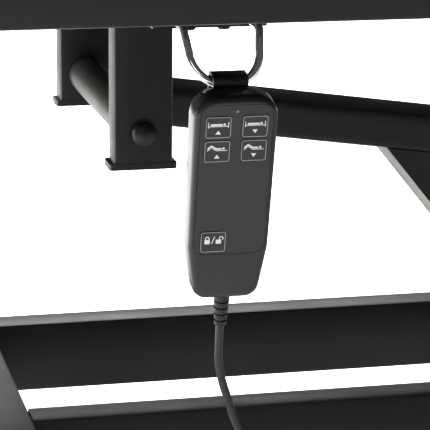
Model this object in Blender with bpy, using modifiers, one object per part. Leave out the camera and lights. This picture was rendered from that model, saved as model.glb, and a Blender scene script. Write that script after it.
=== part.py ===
"""Adjustable bed base: a steel floor frame, two parallel lift arms, a top frame with
four deck sections, two electric linear actuators and a wired handset on a chrome ring.

Metres, +Z up, +X towards the head end, -Y towards the user's side. The origin is on
the floor, under the middle of the deck. The base stands at its lowest height."""
import math

import bmesh
import bpy
from mathutils import Matrix, Vector

# Deck
DECK_LENGTH = 1.90
DECK_WIDTH = 0.70
DECK_SPLIT = 0.012          # gap between two deck sections, where the hinges sit
LEG_LENGTH = 0.47
THIGH_LENGTH = 0.37
HEAD_LENGTH = 0.32
BOARD_THICKNESS = 0.012
BOARD_OVERHANG = 0.015      # how far a pad stands out past its board at each side
PAD_THICKNESS = 0.034
PAD_EDGE_RADIUS = 0.014

# Top frame
FRAME_WIDTH = 0.62
FRAME_FOOT_MARGIN = 0.02    # from the deck's foot end to the frame
RAIL_HEIGHT = 0.060
RAIL_THICKNESS = 0.030
BEAM_WIDTH = 0.050
BEAM_HEIGHT = 0.030
BEAM_DROP = 0.020           # of a cross beam's top below the rails' tops
TUBE_WALL = 0.002
TUBE_CORNER = 0.003

# Lift linkage
UPPER_PIVOT_X = -0.4545
UPPER_PIVOT_Z = 0.320
PIVOT_TO_FRAME = 0.108      # from the upper pivot up to the top frame's underside
ARM_LENGTH = 0.58
ARM_SLOPE = 7.83            # degrees below level, towards the head end
ARM_PITCH = 0.56            # from one arm to the other, along X
ARM_WIDTH = 0.065
ARM_HEIGHT = 0.030
ARM_WALL = 0.003
ARM_RISE = 0.003            # the arm's centre line above the pivots' line
SLEEVE_DIAMETER = 0.030
BUSH_DIAMETER = 0.016
BUSH_FLANGE = 0.0015
AXLE_DIAMETER = 0.012
CAP_DIAMETER = 0.0215
CAP_HEIGHT = 0.0075
POST_WIDTH = 0.050
POST_THICKNESS = 0.025
POST_SPAN = 0.271           # over the outer faces of a pair of posts
POST_BELOW_PIVOT = 0.0232
POST_CAP_HEIGHT = 0.0036

# Lever of the lift actuator, as places along and below the first arm
LEVER_WIDTH = 0.0594
LEVER_PLATE = 0.003
LEVER_START = 0.2251        # along the arm, from its upper pivot
LEVER_END = 0.400
LEVER_WEB_ANGLE = 51.0      # degrees below level
LEVER_PIN = (-0.2446, -0.0860)      # from the first lower pivot, along X and Z
LEVER_BOSS = 0.0150
LEVER_WEB_LENGTH = 0.118
LIFT_ANCHOR = (0.0754, -0.1560)     # from the first lower pivot, along X and Z
PIN_DIAMETER = 0.010
LIFT_PLAY = 0.0029          # play of the lever pin in its slack eye

# Floor frame
FLOOR_RAIL_SPAN = 0.2748    # over the outer faces of the two rails
FLOOR_RAIL_THICKNESS = 0.030
FLOOR_TUBE = 0.060
FLOOR_WIDTH = 0.560
FLOOR_FOOT_END = -0.5391    # inner edge of the cross foot at the foot end
FLOOR_HEAD_END = 0.735      # inner edge of the cross foot at the head end
FOOT_HEIGHT = 0.045
FOOT_DIAMETER = 0.046
FOOT_PAD = 0.010
FOOT_INSET = 0.040
STUD_DIAMETER = 0.010
STUD_GRIP = 0.022
END_CAP = 0.004

# Knee linkage
KNEE_PIN = (0.0194, -0.0724)        # from the seat hinge, along X and Z
KNEE_ANCHOR = (0.2820, -0.1003)     # from the seat hinge, along X and Z
KNEE_PLAY = 0.0023
FOLD_ANGLE = 30.0           # degrees between two deck sections at the most
HINGE_EYE = 0.0052          # radius; it turns in the gap between two deck sections
HINGE_PIN_DIAMETER = 0.006
STRAP = 0.005               # thickness of the straps and lugs that carry the hinges
STRAP_HEIGHT = 0.016
LUG_FACE = 0.2740           # from the middle to the inner face of a hinge lug, along Y
THIGH_STRAP = 0.2685        # from the middle to the inner face of a strap, along Y
LINK_BAR = 0.2615
LEG_STRAP = 0.2530
LINK_START = (-0.4000, -0.0223)     # from the knee hinge to the link's pivot on the leg section
LINK_PIN_DIAMETER = 0.008
LINK_PLAY = 0.0006

# Handset and its ring
RING_CENTRE = (-0.4345, -0.3161, 0.3895)    # middle of the ring's lowest stretch
RING_RADIUS = 0.0236
RING_ROD = 0.006
RING_LEAN = 31.5            # degrees, its lowest stretch out towards the user
RING_SPREAD = 0.0018        # how much further apart the legs are at their tops
RING_BEND = 0.007
RING_TAIL_END = -0.234
HANDSET_TILT = 12.0         # degrees, its lower end towards the frame
HANDSET_FACE = -0.0285      # of the front face, from the ring's rod, along Y
HANDSET_THICKNESS = 0.0216
HANDSET_TOP = 0.003
HANDSET_LENGTH = 0.1455
HANDSET_HALF_WIDTH = 0.0282
HANDSET_WAIST_HALF = 0.0272
HANDSET_WAIST = 0.108       # from the top down to where the taper starts
HANDSET_FOOT_HALF = 0.0215
HANDSET_WALL = 0.002
CIRCUIT_CLEARANCE = 0.0037     # between the circuit board and the case's side walls
HANDSET_SPLIT = 0.0105      # depth of the front shell
FACE_BEVEL = 0.004
OVERLAY_HALF_WIDTH = 0.0240
OVERLAY_TOP = -0.0020
OVERLAY_BOTTOM = -0.1085
OVERLAY_THICKNESS = 0.0006
KEY_WIDTH = 0.0169
KEY_HEIGHT = 0.0148
KEY_PITCH_X = 0.0244
KEY_PITCH_Z = 0.0169
KEY_ROW = -0.0169           # of the first row's middle, from the ring's rod
KEY_PROUD = 0.0006
KEY_DEPTH = 0.0036
LOCK_KEY = (-0.0112, -0.0991)
LED_HEIGHT = -0.0064
LED_DIAMETER = 0.002
HOOK_WIDTH = 0.0235
HOOK_THICKNESS = 0.002
BOOT_LENGTH = 0.0245
BOOT_DIAMETER = 0.0117
CORD_DIAMETER = 0.0058

# Control box
BOX_SIZE = (0.200, 0.130, 0.046)
BOX_CORNER = (0.275, -0.265)        # its corner nearest the user and the foot end
GLAND_DIAMETER = 0.014
GLAND_LENGTH = 0.012
GLAND_INSET = (0.030, 0.050)

WELD_GAP = 0.0003           # between pieces that rest on or are welded to each other
RUN_GAP = 0.0003            # radial play of a pin, a rod or a stud
ROUND = 16                  # sides of a round piece
ARC = 3                     # steps in a rounded corner

# Heights and places that follow
FRAME_BOTTOM = UPPER_PIVOT_Z + PIVOT_TO_FRAME
FRAME_TOP = FRAME_BOTTOM + RAIL_HEIGHT
BOARD_BOTTOM = FRAME_TOP + WELD_GAP
BOARD_TOP = BOARD_BOTTOM + BOARD_THICKNESS
BEAM_BOTTOM = FRAME_TOP - BEAM_DROP - BEAM_HEIGHT
PAD_BOTTOM = BOARD_TOP + WELD_GAP
FLOOR_TOP = FOOT_HEIGHT + FLOOR_TUBE
POST_INNER = POST_SPAN / 2 - POST_THICKNESS
DECK_FOOT = -DECK_LENGTH / 2
DECK_HEAD = DECK_LENGTH / 2
LEG_END = DECK_FOOT + LEG_LENGTH
THIGH_START = LEG_END + DECK_SPLIT
THIGH_END = THIGH_START + THIGH_LENGTH
TORSO_START = THIGH_END + DECK_SPLIT
HEAD_START = DECK_HEAD - HEAD_LENGTH
TORSO_END = HEAD_START - DECK_SPLIT
FRAME_START = DECK_FOOT + FRAME_FOOT_MARGIN
FRAME_END = TORSO_END
SLOPE = math.radians(ARM_SLOPE)
ARM_RUN = ARM_LENGTH * math.cos(SLOPE)
ARM_FALL = ARM_LENGTH * math.sin(SLOPE)
UPPER_A = Vector((UPPER_PIVOT_X, 0, UPPER_PIVOT_Z))
UPPER_B = UPPER_A + Vector((ARM_PITCH, 0, 0))
LOWER_A = UPPER_A + Vector((ARM_RUN, 0, -ARM_FALL))
LOWER_B = LOWER_A + Vector((ARM_PITCH, 0, 0))
LEVER_PIVOT = LOWER_A + Vector((LEVER_PIN[0], 0, LEVER_PIN[1]))
LIFT_FOOT = LOWER_A + Vector((LIFT_ANCHOR[0], 0, LIFT_ANCHOR[1]))
SEAT_HINGE = Vector((THIGH_END + DECK_SPLIT / 2, 0, BOARD_TOP))
KNEE_HINGE = Vector((LEG_END + DECK_SPLIT / 2, 0, BOARD_BOTTOM + BOARD_THICKNESS / 2))
HEAD_HINGE = Vector((TORSO_END + DECK_SPLIT / 2, 0, BOARD_TOP))
KNEE_LEVER_PIVOT = SEAT_HINGE + Vector((KNEE_PIN[0], 0, KNEE_PIN[1]))
KNEE_FOOT = SEAT_HINGE + Vector((KNEE_ANCHOR[0], 0, KNEE_ANCHOR[1]))
LINK_TIP = KNEE_HINGE + Vector((LINK_START[0], 0, LINK_START[1]))
LINK_PIVOT = LINK_TIP + SEAT_HINGE - KNEE_HINGE
RING = Vector(RING_CENTRE)
HANDSET_FRAME = Matrix.Translation(RING) @ Matrix.Rotation(math.radians(HANDSET_TILT), 4, "X")
HANDSET_BACK = HANDSET_FACE + HANDSET_THICKNESS
HANDSET_BOTTOM = HANDSET_TOP - HANDSET_LENGTH

# The cord's route, from the boot's end down, along the base and up to the control box.
# It is a list chosen by hand; its first and last points are set by the boot and the gland.
CORD_ROUTE = (
    (-0.4342, -0.2948, 0.2040),
    (-0.4336, -0.2925, 0.1930),
    (-0.4308, -0.2908, 0.1790),
    (-0.4262, -0.2897, 0.1650),
    (-0.4190, -0.2887, 0.1450),
    (-0.4010, -0.2875, 0.1150),
    (-0.3760, -0.2860, 0.0910),
    (-0.3400, -0.2840, 0.0700),
    (-0.2900, -0.2815, 0.0540),
    (-0.2300, -0.2780, 0.0460),
    (-0.1600, -0.2740, 0.0470),
    (-0.0900, -0.2690, 0.0560),
    (-0.0200, -0.2630, 0.0740),
    (0.0450, -0.2560, 0.1020),
    (0.1050, -0.2480, 0.1400),
    (0.1650, -0.2390, 0.1900),
    (0.2200, -0.2290, 0.2500),
    (0.2640, -0.2210, 0.3120),
    (0.2930, -0.2165, 0.3680),
    (0.3040, -0.2151, 0.4040),
)
CORD_STEP = 0.017


def clear_scene():
    for old in list(bpy.data.objects):
        bpy.data.objects.remove(old, do_unlink=True)


def new_collection(name):
    made = bpy.data.collections.new(name)
    bpy.context.scene.collection.children.link(made)
    return made


clear_scene()
PARTS = new_collection("adjustable_bed_base")
TOOLS = new_collection("cutters")


def new_material(name, colour, roughness, metallic=0.0):
    made = bpy.data.materials.new(name)
    made.use_nodes = True
    shader = made.node_tree.nodes["Principled BSDF"]
    shader.inputs["Base Color"].default_value = (*colour, 1.0)
    shader.inputs["Roughness"].default_value = roughness
    shader.inputs["Metallic"].default_value = metallic
    return made


POWDER_COAT = new_material("black_powder_coat", (0.022, 0.021, 0.020), 0.55)
BLACK_PLASTIC = new_material("black_plastic", (0.014, 0.014, 0.014), 0.42)
HANDSET_PLASTIC = new_material("handset_plastic", (0.026, 0.026, 0.027), 0.38)
KEY_FILM = new_material("key_film", (0.030, 0.030, 0.031), 0.45)
CHROME = new_material("chrome", (0.72, 0.72, 0.74), 0.08, 1.0)
ZINC = new_material("zinc", (0.50, 0.50, 0.52), 0.35, 1.0)
PLYWOOD = new_material("black_ply", (0.030, 0.028, 0.026), 0.60)
LEATHERETTE = new_material("black_leatherette", (0.018, 0.018, 0.019), 0.50)
BUSH_NYLON = new_material("bush_nylon", (0.62, 0.61, 0.56), 0.45)
CIRCUIT = new_material("circuit_board", (0.020, 0.110, 0.050), 0.45)
LED_LENS = new_material("led_lens", (0.10, 0.12, 0.10), 0.20)
CORD_JACKET = new_material("cord_jacket", (0.012, 0.012, 0.012), 0.45)


def new_body(name, place):
    """An empty on the joint's axis; the body's pieces hang from it."""
    made = bpy.data.objects.new(name + "_pivot", None)
    PARTS.objects.link(made)
    made.empty_display_size = 0.05
    made.location = place
    return made


def hang(piece, body):
    piece.parent = body
    piece.matrix_parent_inverse = Matrix.Translation(-body.location)
    return piece


def to_object(name, shape, collection):
    bmesh.ops.recalc_face_normals(shape, faces=shape.faces)
    mesh = bpy.data.meshes.new(name)
    shape.to_mesh(mesh)
    shape.free()
    made = bpy.data.objects.new(name, mesh)
    collection.objects.link(made)
    return made


def piece(name, shape, material, body):
    """A bmesh becomes one named piece of a body, smooth except at its sharp edges."""
    made = to_object(name, shape, PARTS)
    made.data.materials.append(material)
    made.data.shade_smooth()
    made.data.set_sharp_from_angle(angle=math.radians(35))
    return hang(made, body)


def boolean(target, shape, operation):
    """Cut a bmesh out of a piece, or unite it with the piece."""
    tool = to_object(target.name + "_tool", shape, TOOLS)
    tool.hide_render = True
    tool.display_type = "WIRE"
    change = target.modifiers.new(operation.lower(), "BOOLEAN")
    change.operation = operation
    change.solver = "EXACT"
    change.object = tool


def place_frame(origin, x_axis, y_axis):
    """A matrix that puts local X, Y and Z along the given axes, at the origin given."""
    x = Vector(x_axis).normalized()
    z = x.cross(Vector(y_axis)).normalized()
    y = z.cross(x)
    turn = Matrix((x, y, z)).transposed().to_4x4()
    return Matrix.Translation(Vector(origin)) @ turn


def add_box(shape, low, high, matrix=Matrix.Identity(4)):
    low, high = Vector(low), Vector(high)
    size = Matrix.Diagonal((*(high - low), 1))
    bmesh.ops.create_cube(shape, size=1, matrix=matrix @ Matrix.Translation((low + high) / 2) @ size)


def add_rod(shape, start, end, radius, sides=ROUND):
    start, end = Vector(start), Vector(end)
    along = end - start
    turn = along.to_track_quat("Z", "Y").to_matrix().to_4x4()
    bmesh.ops.create_cone(
        shape, cap_ends=True, segments=sides, radius1=radius, radius2=radius,
        depth=along.length, matrix=Matrix.Translation((start + end) / 2) @ turn)


def add_mesh(shape, part, matrix=Matrix.Identity(4)):
    """Add one bmesh to another and free it."""
    bmesh.ops.transform(part, matrix=matrix, verts=part.verts)
    mesh = bpy.data.meshes.new("joined")
    part.to_mesh(mesh)
    part.free()
    shape.from_mesh(mesh)
    bpy.data.meshes.remove(mesh)


def add_turned(shape, profile, origin, axis, closed=False, sides=ROUND):
    """Spin a profile of (radius, height) points round an axis."""
    part = bmesh.new()
    points = [part.verts.new((radius, 0, height)) for radius, height in profile]
    ends = list(zip(points, points[1:] + points[:1] if closed else points[1:]))
    lines = [part.edges.new(pair) for pair in ends]
    bmesh.ops.spin(
        part, geom=points + lines, cent=(0, 0, 0), axis=(0, 0, 1), angle=2 * math.pi,
        steps=sides, use_merge=True)
    bmesh.ops.remove_doubles(part, verts=part.verts, dist=1e-6)
    turn = Vector(axis).to_track_quat("Z", "Y").to_matrix().to_4x4()
    add_mesh(shape, part, Matrix.Translation(Vector(origin)) @ turn)


def rounded(corners, steps=ARC):
    """An outline whose corners, given as (x, y, radius), are rounded."""
    points = []
    for i, (x, y, radius) in enumerate(corners):
        corner = Vector((x, y))
        if radius < 1e-6:
            points.append(corner)
            continue
        back = (Vector(corners[i - 1][:2]) - corner).normalized()
        ahead = (Vector(corners[(i + 1) % len(corners)][:2]) - corner).normalized()
        half = back.angle(ahead) / 2
        centre = corner + (back + ahead).normalized() * radius / math.sin(half)
        first = corner + back * radius / math.tan(half) - centre
        sweep = math.pi - 2 * half
        side = 1 if back.x * ahead.y - back.y * ahead.x < 0 else -1
        for step in range(steps + 1):
            points.append(centre + Matrix.Rotation(side * sweep * step / steps, 2) @ first)
    return points


def circle(x, y, radius, sides=ROUND):
    turns = (2 * math.pi * i / sides for i in range(sides))
    return [Vector((x + radius * math.cos(a), y + radius * math.sin(a))) for a in turns]


def rectangle(x, y, half_x, half_y, radius=0.0, steps=2):
    return rounded([(x - half_x, y - half_y, radius), (x + half_x, y - half_y, radius),
                    (x + half_x, y + half_y, radius), (x - half_x, y + half_y, radius)], steps)


def add_plate(shape, outline, thickness, matrix, holes=()):
    """Extrude a flat outline, with holes, by its thickness about local Z = 0."""
    flat = bpy.data.curves.new("outline", "CURVE")
    flat.dimensions = "2D"
    flat.fill_mode = "BOTH"
    flat.extrude = thickness / 2
    for line in (outline, *holes):
        spline = flat.splines.new("POLY")
        spline.points.add(len(line) - 1)
        for point, target in zip(spline.points, line):
            point.co = (target.x, target.y, 0, 1)
        spline.use_cyclic_u = True
    drawn = bpy.data.objects.new("outline", flat)
    bpy.context.scene.collection.objects.link(drawn)
    view = bpy.context.evaluated_depsgraph_get()
    mesh = bpy.data.meshes.new_from_object(drawn.evaluated_get(view))
    part = bmesh.new()
    part.from_mesh(mesh)
    bmesh.ops.remove_doubles(part, verts=part.verts, dist=1e-6)
    bpy.data.objects.remove(drawn)
    bpy.data.curves.remove(flat)
    bpy.data.meshes.remove(mesh)
    add_mesh(shape, part, matrix)


def add_tube(shape, start, end, width, height, across, wall=TUBE_WALL, corner=TUBE_CORNER):
    """A rectangular tube from start to end; width is measured along the axis across."""
    start, end = Vector(start), Vector(end)
    along = (end - start).normalized()
    wide = Vector(across)
    turn = Matrix((wide, along.cross(wide), along)).transposed().to_4x4()
    outer = rectangle(0, 0, width / 2, height / 2, corner)
    inner = rectangle(0, 0, width / 2 - wall, height / 2 - wall, corner - wall * 0.6)
    middle = Matrix.Translation((start + end) / 2) @ turn
    add_plate(shape, outer, (end - start).length, middle, [inner])


def new_curve_piece(name, points, radius, material, body):
    """A round wire or cord along a line of points."""
    line = bpy.data.curves.new(name, "CURVE")
    line.dimensions = "3D"
    line.bevel_depth = radius
    line.bevel_resolution = 2
    line.use_fill_caps = True
    spline = line.splines.new("POLY")
    spline.points.add(len(points) - 1)
    for point, target in zip(spline.points, points):
        point.co = (*target, 1)
    line.materials.append(material)
    made = bpy.data.objects.new(name, line)
    PARTS.objects.link(made)
    return hang(made, body)


# Bodies: the floor frame stands still, and the others move about these places
FLOOR_BODY = new_body("floor_frame", (0, 0, 0))
ARM_A_BODY = new_body("arm_a", LOWER_A)
ARM_B_BODY = new_body("arm_b", LOWER_B)
TOP_BODY = new_body("top_frame", UPPER_A)
LIFT_BODY = new_body("lift_actuator", LIFT_FOOT)
LIFT_ROD_BODY = new_body("lift_rod", LEVER_PIVOT)
THIGH_BODY = new_body("thigh_section", SEAT_HINGE)
LEG_BODY = new_body("leg_section", KNEE_HINGE)
LINK_BODY = new_body("leg_link", LINK_PIVOT)
KNEE_BODY = new_body("knee_actuator", KNEE_FOOT)
KNEE_ROD_BODY = new_body("knee_rod", KNEE_LEVER_PIVOT)
HEAD_BODY = new_body("head_section", HEAD_HINGE)
HANDSET_BODY = new_body("handset", RING)

X_AXIS, Y_AXIS, Z_AXIS = Vector((1, 0, 0)), Vector((0, 1, 0)), Vector((0, 0, 1))
SIDES = (-1, 1)


def side_plane(y):
    """Outlines drawn in X and Z stand upright, their thickness along Y."""
    return Matrix.Translation((0, y, 0)) @ Matrix.Rotation(math.radians(90), 4, "X")


# Floor frame

def build_floor_frame():
    rail_y = (FLOOR_RAIL_SPAN - FLOOR_RAIL_THICKNESS) / 2
    rail_z = FOOT_HEIGHT + FLOOR_TUBE / 2
    for name, side in (("floor_rail_near", -1), ("floor_rail_far", 1)):
        shape, posts = bmesh.new(), bmesh.new()
        add_tube(shape, (FLOOR_FOOT_END + WELD_GAP, side * rail_y, rail_z),
                 (FLOOR_HEAD_END - WELD_GAP, side * rail_y, rail_z),
                 FLOOR_RAIL_THICKNESS, FLOOR_TUBE, Y_AXIS)
        for pivot in (LOWER_A, LOWER_B):
            y = side * (POST_SPAN - POST_THICKNESS) / 2
            top = pivot.z + POST_BELOW_PIVOT
            add_tube(posts, (pivot.x, y, FLOOR_TOP - TUBE_WALL / 2), (pivot.x, y, top),
                     POST_WIDTH, POST_THICKNESS, X_AXIS)
        rail = piece(name, shape, POWDER_COAT, FLOOR_BODY)
        boolean(rail, posts, "UNION")
        boolean(rail, post_ends((LOWER_A, LOWER_B), side, 1), "UNION")
        boolean(rail, axle_holes((LOWER_A, LOWER_B)), "DIFFERENCE")

    half = FLOOR_WIDTH / 2
    for name, edge, side in (("cross_foot_1", FLOOR_FOOT_END, -1), ("cross_foot_2", FLOOR_HEAD_END, 1)):
        x = edge + side * FLOOR_TUBE / 2
        shape, ends, stud_holes = bmesh.new(), bmesh.new(), bmesh.new()
        add_tube(shape, (x, -half, rail_z), (x, half, rail_z), FLOOR_TUBE, FLOOR_TUBE, X_AXIS)
        for end in SIDES:
            add_end(ends, (x, end * half, rail_z), (0, end, 0), FLOOR_TUBE, FLOOR_TUBE, X_AXIS, END_CAP)
            y = end * (half - FOOT_INSET)
            add_rod(stud_holes, (x, y, FOOT_HEIGHT - 0.01), (x, y, FOOT_HEIGHT + 0.01),
                    STUD_DIAMETER / 2 + RUN_GAP)
        bar = piece(name, shape, POWDER_COAT, FLOOR_BODY)
        boolean(bar, ends, "UNION")
        boolean(bar, stud_holes, "DIFFERENCE")


def add_end(shape, seat, outward, width, height, across, thickness):
    """The cap that closes a tube's end: a flat head, let into the end by half its wall."""
    out, wide = Vector(outward), Vector(across)
    turn = Matrix((wide, out.cross(wide), out)).transposed().to_4x4()
    head = rectangle(0, 0, width / 2 + 0.0004, height / 2 + 0.0004, TUBE_CORNER)
    depth = thickness + TUBE_WALL / 2
    middle = Vector(seat) + out * (thickness - depth / 2)
    add_plate(shape, head, depth, Matrix.Translation(middle) @ turn)


def post_ends(pivots, side, way):
    ends = bmesh.new()
    for pivot in pivots:
        y = side * (POST_SPAN - POST_THICKNESS) / 2
        add_end(ends, (pivot.x, y, pivot.z + way * POST_BELOW_PIVOT), (0, 0, way),
                POST_WIDTH, POST_THICKNESS, X_AXIS, POST_CAP_HEIGHT)
    return ends


def axle_holes(pivots):
    holes = bmesh.new()
    for pivot in pivots:
        add_rod(holes, pivot - Y_AXIS * POST_SPAN, pivot + Y_AXIS * POST_SPAN,
                AXLE_DIAMETER / 2 + RUN_GAP)
    return holes


def build_axle(name, pivot, body):
    """A threaded axle through two posts, with a nut under a domed cap on each end."""
    shape = bmesh.new()
    face, thread = POST_SPAN / 2 + WELD_GAP, AXLE_DIAMETER / 2
    cap = cap_profile()
    outer = [(radius, face + height) for radius, height in cap]
    low = [(radius, -height) for radius, height in reversed(outer)]
    add_turned(shape, [*outer, (thread, face), (thread, -face), *low], pivot, Y_AXIS)
    piece(name, shape, BLACK_PLASTIC, body)


def cap_profile():
    """A dome with a thin rim, from its top down its outer side."""
    rim, radius = 0.0009, CAP_DIAMETER / 2
    dome = radius - rim
    arc = [(dome * math.sin(a), rim + (CAP_HEIGHT - rim) * math.cos(a))
           for a in (math.radians(22.5 * i) for i in range(5))]
    return [*arc, (radius, rim), (radius, 0)]


def build_feet():
    """Levelling feet: a round sole and a stud that screws into the cross foot."""
    number = 1
    for edge, side in ((FLOOR_FOOT_END, -1), (FLOOR_HEAD_END, 1)):
        for end in SIDES:
            x = edge + side * FLOOR_TUBE / 2
            y = end * (FLOOR_WIDTH / 2 - FOOT_INSET)
            sole, stud = FOOT_DIAMETER / 2, STUD_DIAMETER / 2
            top = FOOT_HEIGHT + STUD_GRIP
            nut, nut_top = 0.0095, FOOT_HEIGHT - 0.0006
            shape = bmesh.new()
            add_turned(shape, [(0, top), (stud, top), (stud, nut_top), (nut, nut_top),
                               (nut, nut_top - 0.008), (stud, nut_top - 0.008),
                               (stud, FOOT_PAD + 0.008), (sole * 0.45, FOOT_PAD + 0.006),
                               (sole * 0.85, FOOT_PAD), (sole, FOOT_PAD * 0.7), (sole, 0),
                               (0, 0)], (x, y, 0), Z_AXIS)
            body = new_body(f"foot_{number}", (x, y, 0))
            piece(f"levelling_foot_{number}", shape, BLACK_PLASTIC, body)
            number += 1


def build_lift_anchor():
    """A cross tube between the floor rails with two ears and the actuator's foot pin."""
    inner = FLOOR_RAIL_SPAN / 2 - FLOOR_RAIL_THICKNESS - WELD_GAP
    reach, size = 0.027, 0.030
    shape = bmesh.new()
    x = LIFT_FOOT.x + reach + size / 2
    add_tube(shape, (x, -inner, LIFT_FOOT.z), (x, inner, LIFT_FOOT.z), size, size, X_AXIS)
    ear = rounded([(LIFT_FOOT.x - 0.012, LIFT_FOOT.z - 0.012, 0.011),
                   (LIFT_FOOT.x + reach + TUBE_WALL / 2, LIFT_FOOT.z - 0.013, 0),
                   (LIFT_FOOT.x + reach + TUBE_WALL / 2, LIFT_FOOT.z + 0.013, 0),
                   (LIFT_FOOT.x - 0.012, LIFT_FOOT.z + 0.012, 0.011)])
    ears = bmesh.new()
    for side in SIDES:
        add_plate(ears, ear, 0.005, side_plane(side * 0.0150))
    anchor = piece("actuator_anchor", shape, POWDER_COAT, FLOOR_BODY)
    boolean(anchor, ears, "UNION")
    boolean(anchor, pin_shape(LIFT_FOOT, 0.0175), "UNION")


def pin_shape(pivot, half):
    """A plain pin along Y, with a head outside each plate that it is pressed into."""
    pin, head = PIN_DIAMETER / 2, PIN_DIAMETER / 2 + 0.0025
    near = half - 0.0004
    far = half + 0.002
    shape = bmesh.new()
    add_turned(shape, [(0, far), (head, far), (head, near), (pin, near), (pin, -near),
                       (head, -near), (head, -far), (0, -far)], pivot, Y_AXIS, sides=12)
    return shape


# Lift arms

def build_arm(letter, upper, lower, body):
    """A flat tube between two pivot sleeves, and the bushes that line the sleeves."""
    along = (lower - upper).normalized()
    up = Y_AXIS.cross(along) if Y_AXIS.cross(along).z > 0 else along.cross(Y_AXIS)
    sleeve = SLEEVE_DIAMETER / 2
    start = upper + along * sleeve * 0.7 + up * ARM_RISE
    end = lower - along * sleeve * 0.7 + up * ARM_RISE
    shape, sleeves, bores = bmesh.new(), bmesh.new(), bmesh.new()
    add_tube(shape, start, end, ARM_WIDTH, ARM_HEIGHT, Y_AXIS, ARM_WALL, 0.0042)
    thrust = BUSH_FLANGE
    sleeve_end = POST_INNER - WELD_GAP - thrust
    bore, hole = BUSH_DIAMETER / 2 + RUN_GAP, AXLE_DIAMETER / 2 + RUN_GAP
    for pivot in (upper, lower):
        add_rod(sleeves, pivot - Y_AXIS * sleeve_end, pivot + Y_AXIS * sleeve_end, sleeve, 24)
        add_rod(bores, pivot - Y_AXIS * POST_INNER, pivot + Y_AXIS * POST_INNER, bore)
    drain = lower - along * 0.060
    add_rod(bores, drain - up * 0.020, drain - up * 0.005, 0.003, 12)
    arm = piece(f"lift_arm_{letter}", shape, POWDER_COAT, body)
    boolean(arm, sleeves, "UNION")
    boolean(arm, bores, "DIFFERENCE")
    for place, pivot in (("upper", upper), ("lower", lower)):
        bush = bmesh.new()
        end, radius = sleeve_end + thrust, BUSH_DIAMETER / 2
        add_turned(bush, [(radius, end), (radius, -end), (hole, -end), (hole, end)],
                   pivot, Y_AXIS, True)
        piece(f"bush_{letter}_{place}", bush, BUSH_NYLON, body)


def build_lever():
    """A folded steel channel under the first arm: a slanted web and two cheeks."""
    along = Vector((math.cos(SLOPE), -math.sin(SLOPE)))
    below = Vector((-math.sin(SLOPE), -math.cos(SLOPE)))
    origin = Vector((UPPER_A.x, UPPER_A.z)) + below * (ARM_HEIGHT / 2 - ARM_RISE + WELD_GAP)
    start, end = origin + along * LEVER_START, origin + along * LEVER_END
    pin = Vector((LEVER_PIVOT.x, LEVER_PIVOT.z))
    slant = math.radians(LEVER_WEB_ANGLE)
    web, inward = Vector((math.cos(slant), -math.sin(slant))), Vector((math.sin(slant), math.cos(slant)))
    web_end = start + web * LEVER_WEB_LENGTH
    boss = LEVER_BOSS
    tip = pin - web * 0.002
    outline = [(start.x, start.y, 0), (web_end.x, web_end.y, 0.006),
               (tip.x - boss, tip.y - boss * 0.7, boss * 0.9), (tip.x + boss, tip.y - boss, boss * 0.9),
               (tip.x + boss, tip.y + boss * 1.2, boss), (end.x, end.y, 0)]
    cheek_y = (LEVER_WIDTH - LEVER_PLATE) / 2
    shape = bmesh.new()
    near = side_plane(-cheek_y)
    add_plate(shape, rounded(outline), LEVER_PLATE, near)
    lever = piece("lift_lever", shape, POWDER_COAT, ARM_A_BODY)
    far_cheek = bmesh.new()
    add_plate(far_cheek, rounded(outline), LEVER_PLATE, side_plane(cheek_y))
    sheet = bmesh.new()
    inner = inward * LEVER_PLATE
    top = start + along * (LEVER_PLATE / inward.dot(along))
    add_plate(sheet, [start, web_end, web_end + inner, top], LEVER_WIDTH - LEVER_PLATE, side_plane(0))
    boolean(lever, sheet, "UNION")
    boolean(lever, far_cheek, "UNION")
    boolean(lever, pin_shape(LEVER_PIVOT, LEVER_WIDTH / 2), "UNION")


# Linear actuators

def actuator_frame(foot, tip):
    """Local X runs from the foot pin to the rod's eye, and local Z is upwards."""
    return place_frame(foot, tip - foot, -Y_AXIS)


def add_eye(shape, matrix, x, half_width, radius, hole, stem_end, stem_half):
    """A flat eye at local x, its hole along Y, with a stem that ends at stem_end."""
    way = 1 if stem_end > x else -1
    opening = math.asin(min(1.0, stem_half / radius))
    arc = []
    for i in range(11):
        angle = opening + (2 * math.pi - 2 * opening) * i / 10
        arc.append(Vector((x + way * radius * math.cos(angle), way * radius * math.sin(angle))))
    outline = [*arc, Vector((stem_end, -way * stem_half)), Vector((stem_end, way * stem_half))]
    add_plate(shape, outline, 2 * half_width, matrix @ side_plane(0), [circle(x, 0, hole)])


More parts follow.
